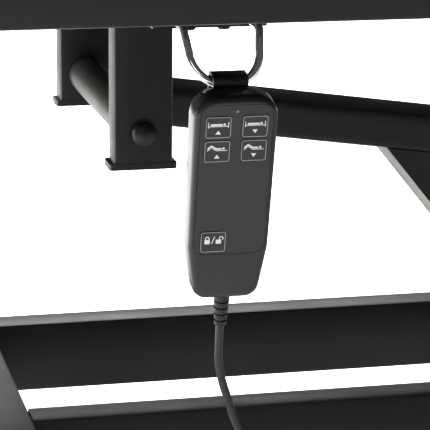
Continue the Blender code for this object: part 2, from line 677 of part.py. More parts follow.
def build_actuator(prefix, foot, tip, play, sizes, bodies, motor_way):
    """A linear actuator: foot eye, gear case, motor, outer tube, and the rod inside it."""
    matrix = actuator_frame(foot, tip)
    along = (tip - foot).normalized()
    length = (tip - foot).length
    tube, rod, case_length, case_width, motor_radius, motor_length = sizes
    rise = matrix.to_3x3() @ Vector(motor_way)
    half = case_width / 2
    motor_offset = tube + motor_radius + 0.006
    case_start, case_end = 0.016, 0.016 + case_length
    tube_end = length - 0.030
    bore_start = case_end + 0.004

    body = bmesh.new()
    add_eye(body, matrix, 0, 0.0105, 0.011, PIN_DIAMETER / 2 + RUN_GAP, case_start + 0.004, 0.009)
    made = piece(prefix + "_actuator_housing", body, BLACK_PLASTIC, bodies[0])
    case = bmesh.new()
    top = motor_offset + motor_radius + 0.003
    case_outline = rectangle(0, (top - half) / 2, half, (top + half) / 2, 0.0074, 2)
    middle = foot + along * (case_start + case_end) / 2
    across = rise.cross(along)
    add_plate(case, case_outline, case_length, place_frame(middle, across, rise))
    boolean(made, case, "UNION")
    drums = bmesh.new()
    add_turned(drums, [(0, tube_end), (tube, tube_end), (tube, case_end - 0.004),
                       (0, case_end - 0.004)], foot, along)
    end = case_end + motor_length
    radius = motor_radius
    add_turned(drums, [(0, end), (radius * 0.5, end), (radius * 0.5, end - 0.004),
                       (radius - 0.002, end - 0.004), (radius, end - 0.006),
                       (radius, case_end - 0.0065), (0, case_end - 0.0065)],
               foot + rise * motor_offset, along)
    boolean(made, drums, "UNION")
    hollow = bmesh.new()
    bore = rod + RUN_GAP
    add_turned(hollow, [(0, tube_end + 0.01), (bore, tube_end + 0.01), (bore, bore_start),
                        (0, bore_start)], foot, along)
    boolean(made, hollow, "DIFFERENCE")

    rod_shape = bmesh.new()
    eye = PIN_DIAMETER / 2 + play
    add_eye(rod_shape, matrix, length, 0.0100, eye + 0.0052, eye, length - 0.026, 0.0075)
    rod_piece = piece(prefix + "_actuator_rod", rod_shape, ZINC, bodies[1])
    shaft = bmesh.new()
    add_turned(shaft, [(0, length - 0.021), (rod, length - 0.021), (rod, bore_start + 0.006),
                       (0, bore_start + 0.006)], foot, along)
    boolean(rod_piece, shaft, "UNION")


# Top frame

def build_top_frame():
    rail_y = (FRAME_WIDTH - RAIL_THICKNESS) / 2
    rail_z = FRAME_BOTTOM + RAIL_HEIGHT / 2
    wall = FRAME_WIDTH / 2 - RAIL_THICKNESS
    for name, side in (("side_rail_near", -1), ("side_rail_far", 1)):
        shape, lugs, pins = bmesh.new(), bmesh.new(), bmesh.new()
        add_tube(shape, (FRAME_START, side * rail_y, rail_z), (FRAME_END, side * rail_y, rail_z),
                 RAIL_THICKNESS, RAIL_HEIGHT, Y_AXIS)
        face = wall + TUBE_WALL / 2
        middle, depth = (LUG_FACE + face) / 2, face - LUG_FACE
        add_plate(lugs, lug_outline(SEAT_HINGE, SEAT_HINGE.x - HINGE_EYE), depth, side_plane(side * middle))
        add_plate(lugs, lug_outline(HEAD_HINGE, FRAME_END - 0.024), depth, side_plane(side * middle))
        for hinge in (SEAT_HINGE, HEAD_HINGE):
            add_stub(pins, hinge, side, LUG_FACE + 0.001, THIGH_STRAP, HINGE_PIN_DIAMETER / 2)
        add_stub(pins, LINK_PIVOT, side, face, LINK_BAR, LINK_PIN_DIAMETER / 2)
        rail = piece(name, shape, POWDER_COAT, TOP_BODY)
        boolean(rail, lugs, "UNION")
        boolean(rail, pins, "UNION")
    inner = wall - WELD_GAP
    ends = (("end_rail_foot", FRAME_START + RAIL_THICKNESS / 2),
            ("end_rail_head", FRAME_END - 0.030 - RAIL_THICKNESS / 2))
    for name, x in ends:
        end = bmesh.new()
        add_tube(end, (x, -inner, rail_z), (x, inner, rail_z), RAIL_THICKNESS, RAIL_HEIGHT, X_AXIS)
        piece(name, end, POWDER_COAT, TOP_BODY)

    beam_z = BEAM_BOTTOM + BEAM_HEIGHT / 2
    for name, pivot in (("cross_beam_a", UPPER_A), ("cross_beam_b", UPPER_B)):
        shape, posts = bmesh.new(), bmesh.new()
        add_tube(shape, (pivot.x, -inner, beam_z), (pivot.x, inner, beam_z),
                 BEAM_WIDTH, BEAM_HEIGHT, X_AXIS)
        for side in SIDES:
            y = side * (POST_SPAN - POST_THICKNESS) / 2
            add_tube(posts, (pivot.x, y, pivot.z - POST_BELOW_PIVOT),
                     (pivot.x, y, BEAM_BOTTOM + TUBE_WALL / 2),
                     POST_WIDTH - 2 * TUBE_CORNER, POST_THICKNESS, X_AXIS)
        beam = piece(name, shape, POWDER_COAT, TOP_BODY)
        boolean(beam, posts, "UNION")
        for side in SIDES:
            boolean(beam, post_ends((pivot,), side, -1), "UNION")
        boolean(beam, axle_holes((pivot,)), "DIFFERENCE")

    knee_beam = bmesh.new()
    beam_x = KNEE_FOOT.x + 0.040
    add_tube(knee_beam, (beam_x, -inner, beam_z), (beam_x, inner, beam_z),
             BEAM_WIDTH, BEAM_HEIGHT, X_AXIS)
    made = piece("knee_beam", knee_beam, POWDER_COAT, TOP_BODY)
    ears = bmesh.new()
    top = BEAM_BOTTOM + TUBE_WALL / 2
    ear = rounded([(KNEE_FOOT.x - 0.011, KNEE_FOOT.z - 0.011, 0.0105),
                   (KNEE_FOOT.x + 0.014, KNEE_FOOT.z - 0.011, 0.004), (beam_x + 0.020, top, 0),
                   (beam_x - 0.020, top, 0), (KNEE_FOOT.x - 0.011, KNEE_FOOT.z + 0.012, 0.006)])
    for side in SIDES:
        add_plate(ears, ear, 0.005, side_plane(side * 0.0150))
    boolean(made, ears, "UNION")
    boolean(made, pin_shape(KNEE_FOOT, 0.0175), "UNION")


def lug_outline(hinge, back):
    """A lug inside a side rail that reaches up into the gap between two deck sections."""
    low = BEAM_BOTTOM + 0.010
    radius = HINGE_EYE
    arc = [Vector((hinge.x + radius * math.cos(a), hinge.z + radius * math.sin(a)))
           for a in (math.pi * i / 8 for i in range(9))]
    under = BOARD_BOTTOM - 2 * WELD_GAP
    if back > hinge.x - radius - 0.001:
        return [*arc, Vector((hinge.x - radius, low)), Vector((hinge.x + radius, low))]
    return [*arc, Vector((hinge.x - radius, under)), Vector((back, under)), Vector((back, low)),
            Vector((hinge.x + radius, low))]


def add_stub(shape, pivot, side, root, strap, radius):
    """A pin that stands inwards from its root, with a head inside the strap it carries."""
    head = radius + 0.0016
    near, far = strap - 0.0005, strap - 0.0023
    profile = [(0, root), (radius, root), (radius, near), (head, near), (head, far), (0, far)]
    add_turned(shape, profile, (pivot.x, 0, pivot.z), Y_AXIS * side, sides=12)


# Deck

def build_board(name, start, end, body):
    half = DECK_WIDTH / 2 - BOARD_OVERHANG
    shape = bmesh.new()
    outline = rectangle((start + end) / 2, 0, (end - start) / 2, half, 0.012, 3)
    add_plate(shape, outline, BOARD_THICKNESS,
              Matrix.Translation((0, 0, BOARD_BOTTOM + BOARD_THICKNESS / 2)))
    piece(name, shape, PLYWOOD, body)


def build_pad(name, start, end, body):
    shape = bmesh.new()
    add_box(shape, (start, -DECK_WIDTH / 2, PAD_BOTTOM), (end, DECK_WIDTH / 2, PAD_BOTTOM + PAD_THICKNESS))
    pad = piece(name, shape, LEATHERETTE, body)
    edge = pad.modifiers.new("rounded_edges", "BEVEL")
    edge.width = PAD_EDGE_RADIUS
    edge.segments = 3


def strap_outline(hinge, edge, way, far):
    """A strap under a board, whose eye stands in the gap beside the board's edge.

    Below its eye the strap leans back, so that it clears the next board when it folds."""
    under = BOARD_BOTTOM - 2 * WELD_GAP
    low = under - STRAP_HEIGHT
    neck = edge - way * (2 * WELD_GAP)
    turns = [math.radians(FOLD_ANGLE + 180) * i / 10 for i in range(11)]
    arc = [Vector((hinge.x + way * HINGE_EYE * math.cos(a), hinge.z + HINGE_EYE * math.sin(a)))
           for a in turns]
    last = arc[-1]
    heel = last.x + way * (last.y - low) * math.tan(math.radians(FOLD_ANGLE))
    return [*arc, Vector((heel, low)), Vector((far, low)), Vector((far, under)),
            Vector((neck, under))]


def strap_y(inner_face, side):
    return side * (inner_face + STRAP / 2)


def build_deck():
    build_board("torso_board", TORSO_START, TORSO_END, TOP_BODY)
    build_pad("torso_pad", TORSO_START, TORSO_END, TOP_BODY)
    build_board("thigh_board", THIGH_START, THIGH_END, THIGH_BODY)
    build_pad("thigh_pad", THIGH_START, THIGH_END, THIGH_BODY)
    build_board("leg_board", DECK_FOOT, LEG_END, LEG_BODY)
    build_pad("leg_pad", DECK_FOOT, LEG_END, LEG_BODY)
    build_board("head_board", HEAD_START, DECK_HEAD, HEAD_BODY)
    build_pad("head_pad", HEAD_START, DECK_HEAD, HEAD_BODY)
    build_thigh_frame()
    build_leg_frame()
    build_leg_link()
    build_head_frame()


def add_cross_bar(shape, x, reach, width):
    """A flat bar across the base, close under a board."""
    top = BOARD_BOTTOM - 2 * WELD_GAP
    add_box(shape, (x - width / 2, -reach, top - 0.008), (x + width / 2, reach, top - 0.0002))


def pin_hole():
    return HINGE_PIN_DIAMETER / 2 + RUN_GAP


def build_thigh_frame():
    """Two straps from the seat hinge to the knee hinge, a cross bar and the knee lever."""
    outline = strap_outline(SEAT_HINGE, THIGH_END, -1, KNEE_HINGE.x + 0.020)
    knee_eye = strap_outline(KNEE_HINGE, THIGH_START, 1, KNEE_HINGE.x + 0.040)
    bar_x = THIGH_END - 0.040
    bar = bmesh.new()
    add_cross_bar(bar, bar_x, THIGH_STRAP + STRAP / 2, 0.030)
    frame = piece("thigh_frame", bar, POWDER_COAT, THIGH_BODY)
    for side in SIDES:
        straps, ends = bmesh.new(), bmesh.new()
        add_plate(straps, outline, STRAP, side_plane(strap_y(THIGH_STRAP, side)),
                  [circle(SEAT_HINGE.x, SEAT_HINGE.z, pin_hole(), 12)])
        add_plate(ends, knee_eye, STRAP, side_plane(strap_y(THIGH_STRAP, side)))
        boolean(frame, straps, "UNION")
        boolean(frame, ends, "UNION")
    pins = bmesh.new()
    for side in SIDES:
        add_stub(pins, KNEE_HINGE, side, THIGH_STRAP + STRAP / 2, LEG_STRAP, HINGE_PIN_DIAMETER / 2)
    boolean(frame, pins, "UNION")
    under = BOARD_BOTTOM - 2 * WELD_GAP
    pin = KNEE_LEVER_PIVOT
    cheek = rounded([(bar_x - 0.010, under - 0.002, 0), (bar_x - 0.004, under - 0.014, 0.006),
                     (pin.x - 0.014, pin.z - 0.011, 0.010), (pin.x + 0.011, pin.z - 0.011, 0.0105),
                     (pin.x + 0.011, pin.z + 0.012, 0.008), (THIGH_END - 0.004, under - 0.002, 0)])
    cheeks = bmesh.new()
    for side in SIDES:
        add_plate(cheeks, cheek, 0.004, side_plane(side * 0.0130))
    boolean(frame, cheeks, "UNION")
    boolean(frame, pin_shape(pin, 0.0150), "UNION")


def build_leg_frame():
    """Two straps from the knee hinge to the swing link, joined by two cross bars."""
    outline = strap_outline(KNEE_HINGE, LEG_END, -1, LINK_TIP.x - 0.010)
    lug_low = LINK_TIP.z - 0.009
    near = bmesh.new()
    add_cross_bar(near, LEG_END - 0.060, LEG_STRAP + STRAP / 2, 0.030)
    frame = piece("leg_frame", near, POWDER_COAT, LEG_BODY)
    far = bmesh.new()
    add_cross_bar(far, LINK_TIP.x + 0.040, LEG_STRAP + STRAP / 2, 0.030)
    for side in SIDES:
        strap, lug = bmesh.new(), bmesh.new()
        add_plate(strap, outline, STRAP, side_plane(strap_y(LEG_STRAP, side)),
                  [circle(KNEE_HINGE.x, KNEE_HINGE.z, pin_hole(), 12)])
        boolean(frame, strap, "UNION")
        round_lug = rounded([(LINK_TIP.x - 0.010, lug_low, 0.009), (LINK_TIP.x + 0.012, lug_low, 0.009),
                             (LINK_TIP.x + 0.020, lug_low + 0.018, 0),
                             (LINK_TIP.x - 0.0095, lug_low + 0.018, 0)])
        add_plate(lug, round_lug, STRAP, side_plane(strap_y(LEG_STRAP, side)))
        boolean(frame, lug, "UNION")
    boolean(frame, far, "UNION")
    holes = bmesh.new()
    reach = LEG_STRAP + 2 * STRAP
    radius = LINK_PIN_DIAMETER / 2 + LINK_PLAY
    add_rod(holes, LINK_TIP - Y_AXIS * reach, LINK_TIP + Y_AXIS * reach, radius)
    boolean(frame, holes, "DIFFERENCE")


def build_leg_link():
    """Two bars that keep the leg section level, and the rod that joins them at its foot end."""
    half = 0.0070
    outline = rounded([(LINK_TIP.x - half, LINK_TIP.z - half, half * 0.98),
                       (LINK_PIVOT.x + half, LINK_PIVOT.z - half, half * 0.98),
                       (LINK_PIVOT.x + half, LINK_PIVOT.z + half, half * 0.98),
                       (LINK_TIP.x - half, LINK_TIP.z + half, half * 0.98)])
    hole = circle(LINK_PIVOT.x, LINK_PIVOT.z, LINK_PIN_DIAMETER / 2 + RUN_GAP)
    rod = bmesh.new()
    reach = LINK_BAR + STRAP / 2
    add_rod(rod, LINK_TIP - Y_AXIS * reach, LINK_TIP + Y_AXIS * reach, LINK_PIN_DIAMETER / 2)
    link = piece("leg_link", rod, POWDER_COAT, LINK_BODY)
    for side in SIDES:
        bar = bmesh.new()
        add_plate(bar, outline, STRAP, side_plane(strap_y(LINK_BAR, side)), [hole])
        boolean(link, bar, "UNION")


def build_head_frame():
    """Two short straps under the head board, joined by a cross bar."""
    bar = bmesh.new()
    add_cross_bar(bar, HEAD_START + 0.110, THIGH_STRAP + STRAP / 2, 0.030)
    frame = piece("head_frame", bar, POWDER_COAT, HEAD_BODY)
    outline = strap_outline(HEAD_HINGE, HEAD_START, 1, HEAD_START + 0.140)
    for side in SIDES:
        strap = bmesh.new()
        add_plate(strap, outline, STRAP, side_plane(strap_y(THIGH_STRAP, side)),
                  [circle(HEAD_HINGE.x, HEAD_HINGE.z, pin_hole(), 12)])
        boolean(frame, strap, "UNION")


# Control box

def build_control_box():
    """A plastic case screwed under the torso board, with a mains inlet and a gland."""
    x, y = BOX_CORNER
    top = BOARD_BOTTOM - WELD_GAP
    bottom = top - BOX_SIZE[2]
    shape = bmesh.new()
    outline = rectangle(x + BOX_SIZE[0] / 2, y + BOX_SIZE[1] / 2, BOX_SIZE[0] / 2, BOX_SIZE[1] / 2, 0.008, 3)
    add_plate(shape, outline, BOX_SIZE[2], Matrix.Translation((0, 0, (top + bottom) / 2)))
    box = piece("control_box", shape, BLACK_PLASTIC, TOP_BODY)
    gland = bmesh.new()
    at = (x + GLAND_INSET[0], y + GLAND_INSET[1], bottom)
    radius = GLAND_DIAMETER / 2
    add_turned(gland, [(0, 0.002), (radius, 0.002), (radius, 0.004 - GLAND_LENGTH),
                       (radius * 0.75, -GLAND_LENGTH), (0, -GLAND_LENGTH)], at, Z_AXIS)
    boolean(box, gland, "UNION")
    inlet = bmesh.new()
    end = x + BOX_SIZE[0]
    middle = y + BOX_SIZE[1] / 2
    add_box(inlet, (end - 0.016, middle - 0.012, bottom + 0.012), (end + 0.01, middle + 0.012, bottom + 0.029))
    add_box(inlet, (x + 0.004, y + 0.004, bottom + 0.003), (end - 0.019, y + BOX_SIZE[1] - 0.004, top + 0.01))
    boolean(box, inlet, "DIFFERENCE")


# Handset ring

def ring_points():
    """The bent rod's centre line, from one tail round the ring to the other tail."""
    lean = math.radians(RING_LEAN)
    up = Vector((0, math.sin(lean), math.cos(lean)))
    turn = math.pi / 2 - lean
    run_z = FRAME_BOTTOM - WELD_GAP - RING_ROD / 2
    bend_z = run_z - RING_BEND * (1 - math.cos(turn))
    leg = (bend_z - RING.z) / up.z
    right = []
    for i in range(8):
        a = math.radians(90) * i / 8
        right.append(RING + X_AXIS * RING_RADIUS * math.sin(a) + up * RING_RADIUS * (1 - math.cos(a)))
    right.append(RING + X_AXIS * RING_RADIUS + up * RING_RADIUS)
    top = RING + X_AXIS * (RING_RADIUS + RING_SPREAD) + up * leg
    back = Vector((0, 1, 0))
    side = up.cross(back).cross(up).normalized()
    for i in range(6):
        a = turn * i / 5
        right.append(top + up * RING_BEND * math.sin(a) + side * RING_BEND * (1 - math.cos(a)))
    right.append(Vector((top.x, RING_TAIL_END, run_z)))
    left = [Vector((2 * RING.x - p.x, p.y, p.z)) for p in reversed(right[1:])]
    return left + right


def build_ring():
    """The bent chrome rod, and the block under the cross beam that grips its two tails."""
    new_curve_piece("handset_ring", ring_points(), RING_ROD / 2, CHROME, TOP_BODY)
    run_z = FRAME_BOTTOM - WELD_GAP - RING_ROD / 2
    middle_y = -0.251
    half = RING_RADIUS + RING_SPREAD + 0.014
    shape, screws, bores = bmesh.new(), bmesh.new(), bmesh.new()
    low = run_z - RING_ROD / 2 - 0.0028
    add_box(shape, (RING.x - half, middle_y - 0.011, low), (RING.x + half, middle_y + 0.011, BEAM_BOTTOM - WELD_GAP))
    for side in SIDES:
        at = Vector((RING.x + side * 0.012, middle_y, 0))
        add_turned(screws, [(0, low + 0.001), (0.0045, low + 0.001), (0.0045, low - 0.0022),
                            (0.0035, low - 0.0030), (0, low - 0.0030)], at, Z_AXIS, sides=12)
        x = RING.x + side * (RING_RADIUS + RING_SPREAD)
        add_rod(bores, (x, middle_y - 0.02, run_z), (x, middle_y + 0.02, run_z),
                RING_ROD / 2 + WELD_GAP, 16)
    clamp = piece("ring_clamp", shape, POWDER_COAT, TOP_BODY)
    boolean(clamp, screws, "UNION")
    boolean(clamp, bores, "DIFFERENCE")


# Handset, drawn upright with the ring's rod as its origin, then tilted

def handset_outline(inset, waist_radius=0.030):
    half, waist, foot = (w - inset for w in (HANDSET_HALF_WIDTH, HANDSET_WAIST_HALF, HANDSET_FOOT_HALF))
    top, bottom = HANDSET_TOP - inset, HANDSET_BOTTOM + inset
    start = HANDSET_TOP - HANDSET_WAIST
    corner, heel = 0.0150 - inset, 0.0100 - inset
    return rounded([(-half, top, corner), (-waist, start, waist_radius), (-foot, bottom, heel),
                    (foot, bottom, heel), (waist, start, waist_radius), (half, top, corner)], 5)


def handset_plane(y):
    return HANDSET_FRAME @ side_plane(y)


def build_shell(name, outer_y, split_y, bevel, material):
    """Half of the handset's case: a tray with a rounded outer edge, open at the split."""
    shape = bmesh.new()
    depth = abs(split_y - outer_y)
    add_plate(shape, handset_outline(0), depth, side_plane((outer_y + split_y) / 2))
    bmesh.ops.recalc_face_normals(shape, faces=shape.faces)
    bmesh.ops.dissolve_limit(shape, angle_limit=0.02, verts=shape.verts, edges=shape.edges)
    rim = [e for e in shape.edges if all(abs(v.co.y - outer_y) < 1e-5 for v in e.verts)]
    bmesh.ops.bevel(shape, geom=rim, offset=bevel, segments=3, profile=0.5, affect="EDGES")
    bmesh.ops.transform(shape, matrix=HANDSET_FRAME, verts=shape.verts)
    made = piece(name, shape, material, HANDSET_BODY)
    inside = 1 if split_y > outer_y else -1
    floor = outer_y + inside * (HANDSET_WALL + (0.0008 if inside > 0 else 0))
    mouth = split_y + inside * 0.002
    hollow = bmesh.new()
    add_plate(hollow, handset_outline(HANDSET_WALL + 0.0018), abs(mouth - floor),
              handset_plane((mouth + floor) / 2))
    boolean(made, hollow, "DIFFERENCE")
    return made


def key_places():
    keys = {}
    for row, function in ((0, "height"), (1, "knee")):
        for side, way in ((-1, "up"), (1, "down")):
            keys[f"key_{function}_{way}"] = (side * KEY_PITCH_X / 2, KEY_ROW - row * KEY_PITCH_Z)
    keys["key_lock"] = LOCK_KEY
    return keys


def build_handset():
    split = HANDSET_FACE + HANDSET_SPLIT
    front = build_shell("handset_front_shell", HANDSET_FACE, split, FACE_BEVEL, HANDSET_PLASTIC)
    build_shell("handset_back_shell", HANDSET_BACK, split + WELD_GAP, 0.0045, HANDSET_PLASTIC)

    overlay_depth = OVERLAY_THICKNESS + WELD_GAP
    windows = bmesh.new()
    panel_middle = (OVERLAY_TOP + OVERLAY_BOTTOM) / 2
    panel_half = (OVERLAY_TOP - OVERLAY_BOTTOM) / 2
    recess = rectangle(0, panel_middle, OVERLAY_HALF_WIDTH + WELD_GAP, panel_half + WELD_GAP, 0.008, 4)
    add_plate(windows, recess, 2 * overlay_depth, handset_plane(HANDSET_FACE))
    boolean(front, windows, "DIFFERENCE")
    slots = bmesh.new()
    for x, z in key_places().values():
        hole = rectangle(x, z, KEY_WIDTH / 2 + RUN_GAP, KEY_HEIGHT / 2 + RUN_GAP, 0.0016)
        add_plate(slots, hole, 0.02, handset_plane(HANDSET_FACE))
    led_hole = circle(0, LED_HEIGHT, LED_DIAMETER / 2 + RUN_GAP, 12)
    add_plate(slots, led_hole, 0.02, handset_plane(HANDSET_FACE))
    boolean(front, slots, "DIFFERENCE")

    overlay = bmesh.new()
    panel = rectangle(0, panel_middle, OVERLAY_HALF_WIDTH, panel_half, 0.0077, 4)
    holes = [rectangle(x, z, KEY_WIDTH / 2 + RUN_GAP, KEY_HEIGHT / 2 + RUN_GAP, 0.0016)
             for x, z in key_places().values()]
    add_plate(overlay, panel, OVERLAY_THICKNESS,
              handset_plane(HANDSET_FACE + OVERLAY_THICKNESS / 2), [*holes, led_hole])
    piece("keypad_overlay", overlay, KEY_FILM, HANDSET_BODY)

    normal = HANDSET_FRAME.to_3x3() @ Y_AXIS
    for name, (x, z) in key_places().items():
        key = bmesh.new()
        face = rectangle(x, z, KEY_WIDTH / 2, KEY_HEIGHT / 2, 0.0016)
        add_plate(key, face, KEY_DEPTH, handset_plane(HANDSET_FACE - KEY_PROUD + KEY_DEPTH / 2))
        body = new_body(name, HANDSET_FRAME @ Vector((x, HANDSET_FACE, z)))
        piece(name, key, KEY_FILM, body)

    lens = bmesh.new()
    start = HANDSET_FRAME @ Vector((0, HANDSET_FACE, LED_HEIGHT))
    add_rod(lens, start, start + normal * 0.004, LED_DIAMETER / 2, 12)
    piece("status_led", lens, LED_LENS, HANDSET_BODY)

    board = bmesh.new()
    board_half = HANDSET_WAIST_HALF - HANDSET_WALL - CIRCUIT_CLEARANCE
    add_plate(board, rectangle(0, panel_middle, board_half, panel_half - HANDSET_WALL, 0.002), 0.0016,
              handset_plane(HANDSET_FACE + 0.0075))
    piece("circuit_board", board, CIRCUIT, HANDSET_BODY)
    build_hook()
    build_boot()


def build_hook():
    """A folded plate on the case's back that goes up over the ring's rod."""
    front = HANDSET_BACK + WELD_GAP
    inner_back = 0.0065
    rise = 0.0064
    thick = HOOK_THICKNESS
    inner_front = front + thick
    outer = rounded([(front, -0.034, 0.0), (front, rise + thick, 0.004),
                     (inner_back + thick, rise + thick, 0.004), (inner_back + thick, -0.010, 0.0),
                     (inner_back, -0.010, 0.0), (inner_back, rise, 0.002),
                     (inner_front, rise, 0.002), (inner_front, -0.034, 0.0)], 3)
    shape = bmesh.new()
    turn = Matrix(((0, 0, 1, 0), (1, 0, 0, 0), (0, 1, 0, 0), (0, 0, 0, 1)))
    add_plate(shape, outer, HOOK_WIDTH, HANDSET_FRAME @ turn)
    piece("handset_hook", shape, BLACK_PLASTIC, HANDSET_BODY)


def boot_frame():
    """The cord boot's axis runs down from the middle of the case's lower end."""
    seat = (0, (HANDSET_FACE + HANDSET_BACK) / 2, HANDSET_BOTTOM - WELD_GAP)
    return HANDSET_FRAME @ Matrix.Translation(seat)


def build_boot():
    """The strain relief: a tapered moulding with grooves round it."""
    wide, narrow = BOOT_DIAMETER / 2, CORD_DIAMETER / 2 + 0.0012
    profile = [(0, 0), (wide, 0)]
    grooves = 4
    step = BOOT_LENGTH / (grooves + 1)
    for i in range(grooves):
        radius = wide + (narrow - wide) * (i + 1) / (grooves + 1)
        z = -step * (i + 1)
        profile += [(radius, z), (radius - 0.0011, z - 0.0003), (radius - 0.0011, z - 0.0013),
                    (radius - 0.0001, z - 0.0016)]
    profile += [(narrow, -BOOT_LENGTH), (0, -BOOT_LENGTH)]
    frame = boot_frame()
    shape = bmesh.new()
    add_turned(shape, profile, frame.translation, frame.to_3x3() @ Z_AXIS, sides=12)
    piece("cord_boot", shape, BLACK_PLASTIC, HANDSET_BODY)


# Cord

def smooth_line(points, step):
    """Points about a step apart on one smooth curve through the given points."""
    points = [Vector(p) for p in points]
    ends = [2 * points[0] - points[1], *points, 2 * points[-1] - points[-2]]
    fine = [points[0]]
    for a, b, c, d in zip(ends, ends[1:], ends[2:], ends[3:]):
        for i in range(1, 21):
            t = i / 20
            fine.append(0.5 * (2 * b + (c - a) * t + (2 * a - 5 * b + 4 * c - d) * t * t
                               + (3 * b - a - 3 * c + d) * t ** 3))
    total = sum((q - p).length for p, q in zip(fine, fine[1:]))
    count = max(2, round(total / step))
    line, walked, target = [fine[0]], 0.0, total / count
    for p, q in zip(fine, fine[1:]):
        stretch = (q - p).length
        while walked + stretch >= target - 1e-9 and len(line) < count:
            line.append(p.lerp(q, (target - walked) / stretch))
            target += total / count
        walked += stretch
    return line + [fine[-1]]


def build_cord():
    frame = boot_frame()
    down = frame.to_3x3() @ -Z_AXIS
    start = frame @ Vector((0, 0, -BOOT_LENGTH - 2 * WELD_GAP))
    gland_z = BOARD_BOTTOM - WELD_GAP - BOX_SIZE[2] - GLAND_LENGTH - WELD_GAP
    end = Vector((BOX_CORNER[0] + GLAND_INSET[0], BOX_CORNER[1] + GLAND_INSET[1], gland_z))
    route = [start, start + down * 0.006, *CORD_ROUTE, end - Z_AXIS * 0.006, end]
    new_curve_piece("handset_cord", smooth_line(route, CORD_STEP), CORD_DIAMETER / 2,
                    CORD_JACKET, TOP_BODY)


build_floor_frame()
build_feet()
build_lift_anchor()
for label, place, owner in (("pivot_axle_1", LOWER_A, FLOOR_BODY), ("pivot_axle_2", LOWER_B, FLOOR_BODY),
                            ("pivot_axle_3", UPPER_A, TOP_BODY), ("pivot_axle_4", UPPER_B, TOP_BODY)):
    build_axle(label, place, owner)
build_arm("a", UPPER_A, LOWER_A, ARM_A_BODY)
build_arm("b", UPPER_B, LOWER_B, ARM_B_BODY)
build_lever()
build_actuator("lift", LIFT_FOOT, LEVER_PIVOT, LIFT_PLAY,
               (0.018, 0.010, 0.056, 0.052, 0.0215, 0.105), (LIFT_BODY, LIFT_ROD_BODY), Z_AXIS)
build_actuator("knee", KNEE_FOOT, KNEE_LEVER_PIVOT, KNEE_PLAY,
               (0.0145, 0.008, 0.040, 0.040, 0.0170, 0.070), (KNEE_BODY, KNEE_ROD_BODY), -Y_AXIS)
build_top_frame()
build_deck()
build_control_box()
build_ring()
build_handset()
build_cord()
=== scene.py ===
import math

import bmesh
import bpy
from mathutils import Matrix, Vector


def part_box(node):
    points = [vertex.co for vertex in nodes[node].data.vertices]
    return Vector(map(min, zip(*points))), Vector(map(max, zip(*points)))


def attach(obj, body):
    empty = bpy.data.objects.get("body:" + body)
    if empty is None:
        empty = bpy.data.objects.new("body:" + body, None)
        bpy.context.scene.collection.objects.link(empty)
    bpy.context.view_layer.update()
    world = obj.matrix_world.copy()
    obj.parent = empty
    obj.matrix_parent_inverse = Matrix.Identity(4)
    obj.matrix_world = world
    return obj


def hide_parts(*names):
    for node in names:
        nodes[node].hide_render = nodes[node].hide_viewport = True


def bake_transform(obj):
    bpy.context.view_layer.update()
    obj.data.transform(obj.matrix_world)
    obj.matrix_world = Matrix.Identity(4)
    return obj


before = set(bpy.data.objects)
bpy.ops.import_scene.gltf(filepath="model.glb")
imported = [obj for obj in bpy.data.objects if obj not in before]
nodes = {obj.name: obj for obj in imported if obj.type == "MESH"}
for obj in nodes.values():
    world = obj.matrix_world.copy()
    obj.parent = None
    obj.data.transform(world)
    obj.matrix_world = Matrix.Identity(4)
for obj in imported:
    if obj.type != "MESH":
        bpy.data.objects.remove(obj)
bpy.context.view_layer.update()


# Camera: a long lens, low, near the foot end and a little to the left of the handset.
camera_data = bpy.data.cameras.new("camera")
camera_data.lens = 185.44
camera_data.sensor_width = 36.0
camera_data.clip_start = 0.05
camera_data.clip_end = 60.0
camera = bpy.data.objects.new("camera", camera_data)
bpy.context.scene.collection.objects.link(camera)
YAW, PITCH, ROLL = 0.2301, 0.2464, 0.0087
sight = Vector((math.sin(YAW) * math.cos(PITCH), math.cos(YAW) * math.cos(PITCH), -math.sin(PITCH)))
level = Vector((math.cos(YAW), -math.sin(YAW), 0))
over = level.cross(sight)
right = level * math.cos(ROLL) + over * math.sin(ROLL)
up = over * math.cos(ROLL) - level * math.sin(ROLL)
camera.matrix_world = (
    Matrix.Translation((-0.7661, -1.6968, 0.6595))
    @ Matrix((right, up, -sight)).transposed().to_4x4()
)
bpy.context.scene.camera = camera


# Handset cord: a smooth black jacket over the wires. It hangs from the handset's boot
# in one loop along the near side and goes up into the control box under the deck.
def paint(name, colour, roughness, metallic=0.0, gloss=0.5):
    """A new material with the plain values of its shader set."""
    made = bpy.data.materials.new(name)
    made.use_nodes = True
    shader = made.node_tree.nodes["Principled BSDF"]
    shader.inputs["Base Color"].default_value = (*colour, 1)
    shader.inputs["Roughness"].default_value = roughness
    shader.inputs["Metallic"].default_value = metallic
    shader.inputs["Specular IOR Level"].default_value = gloss
    return made


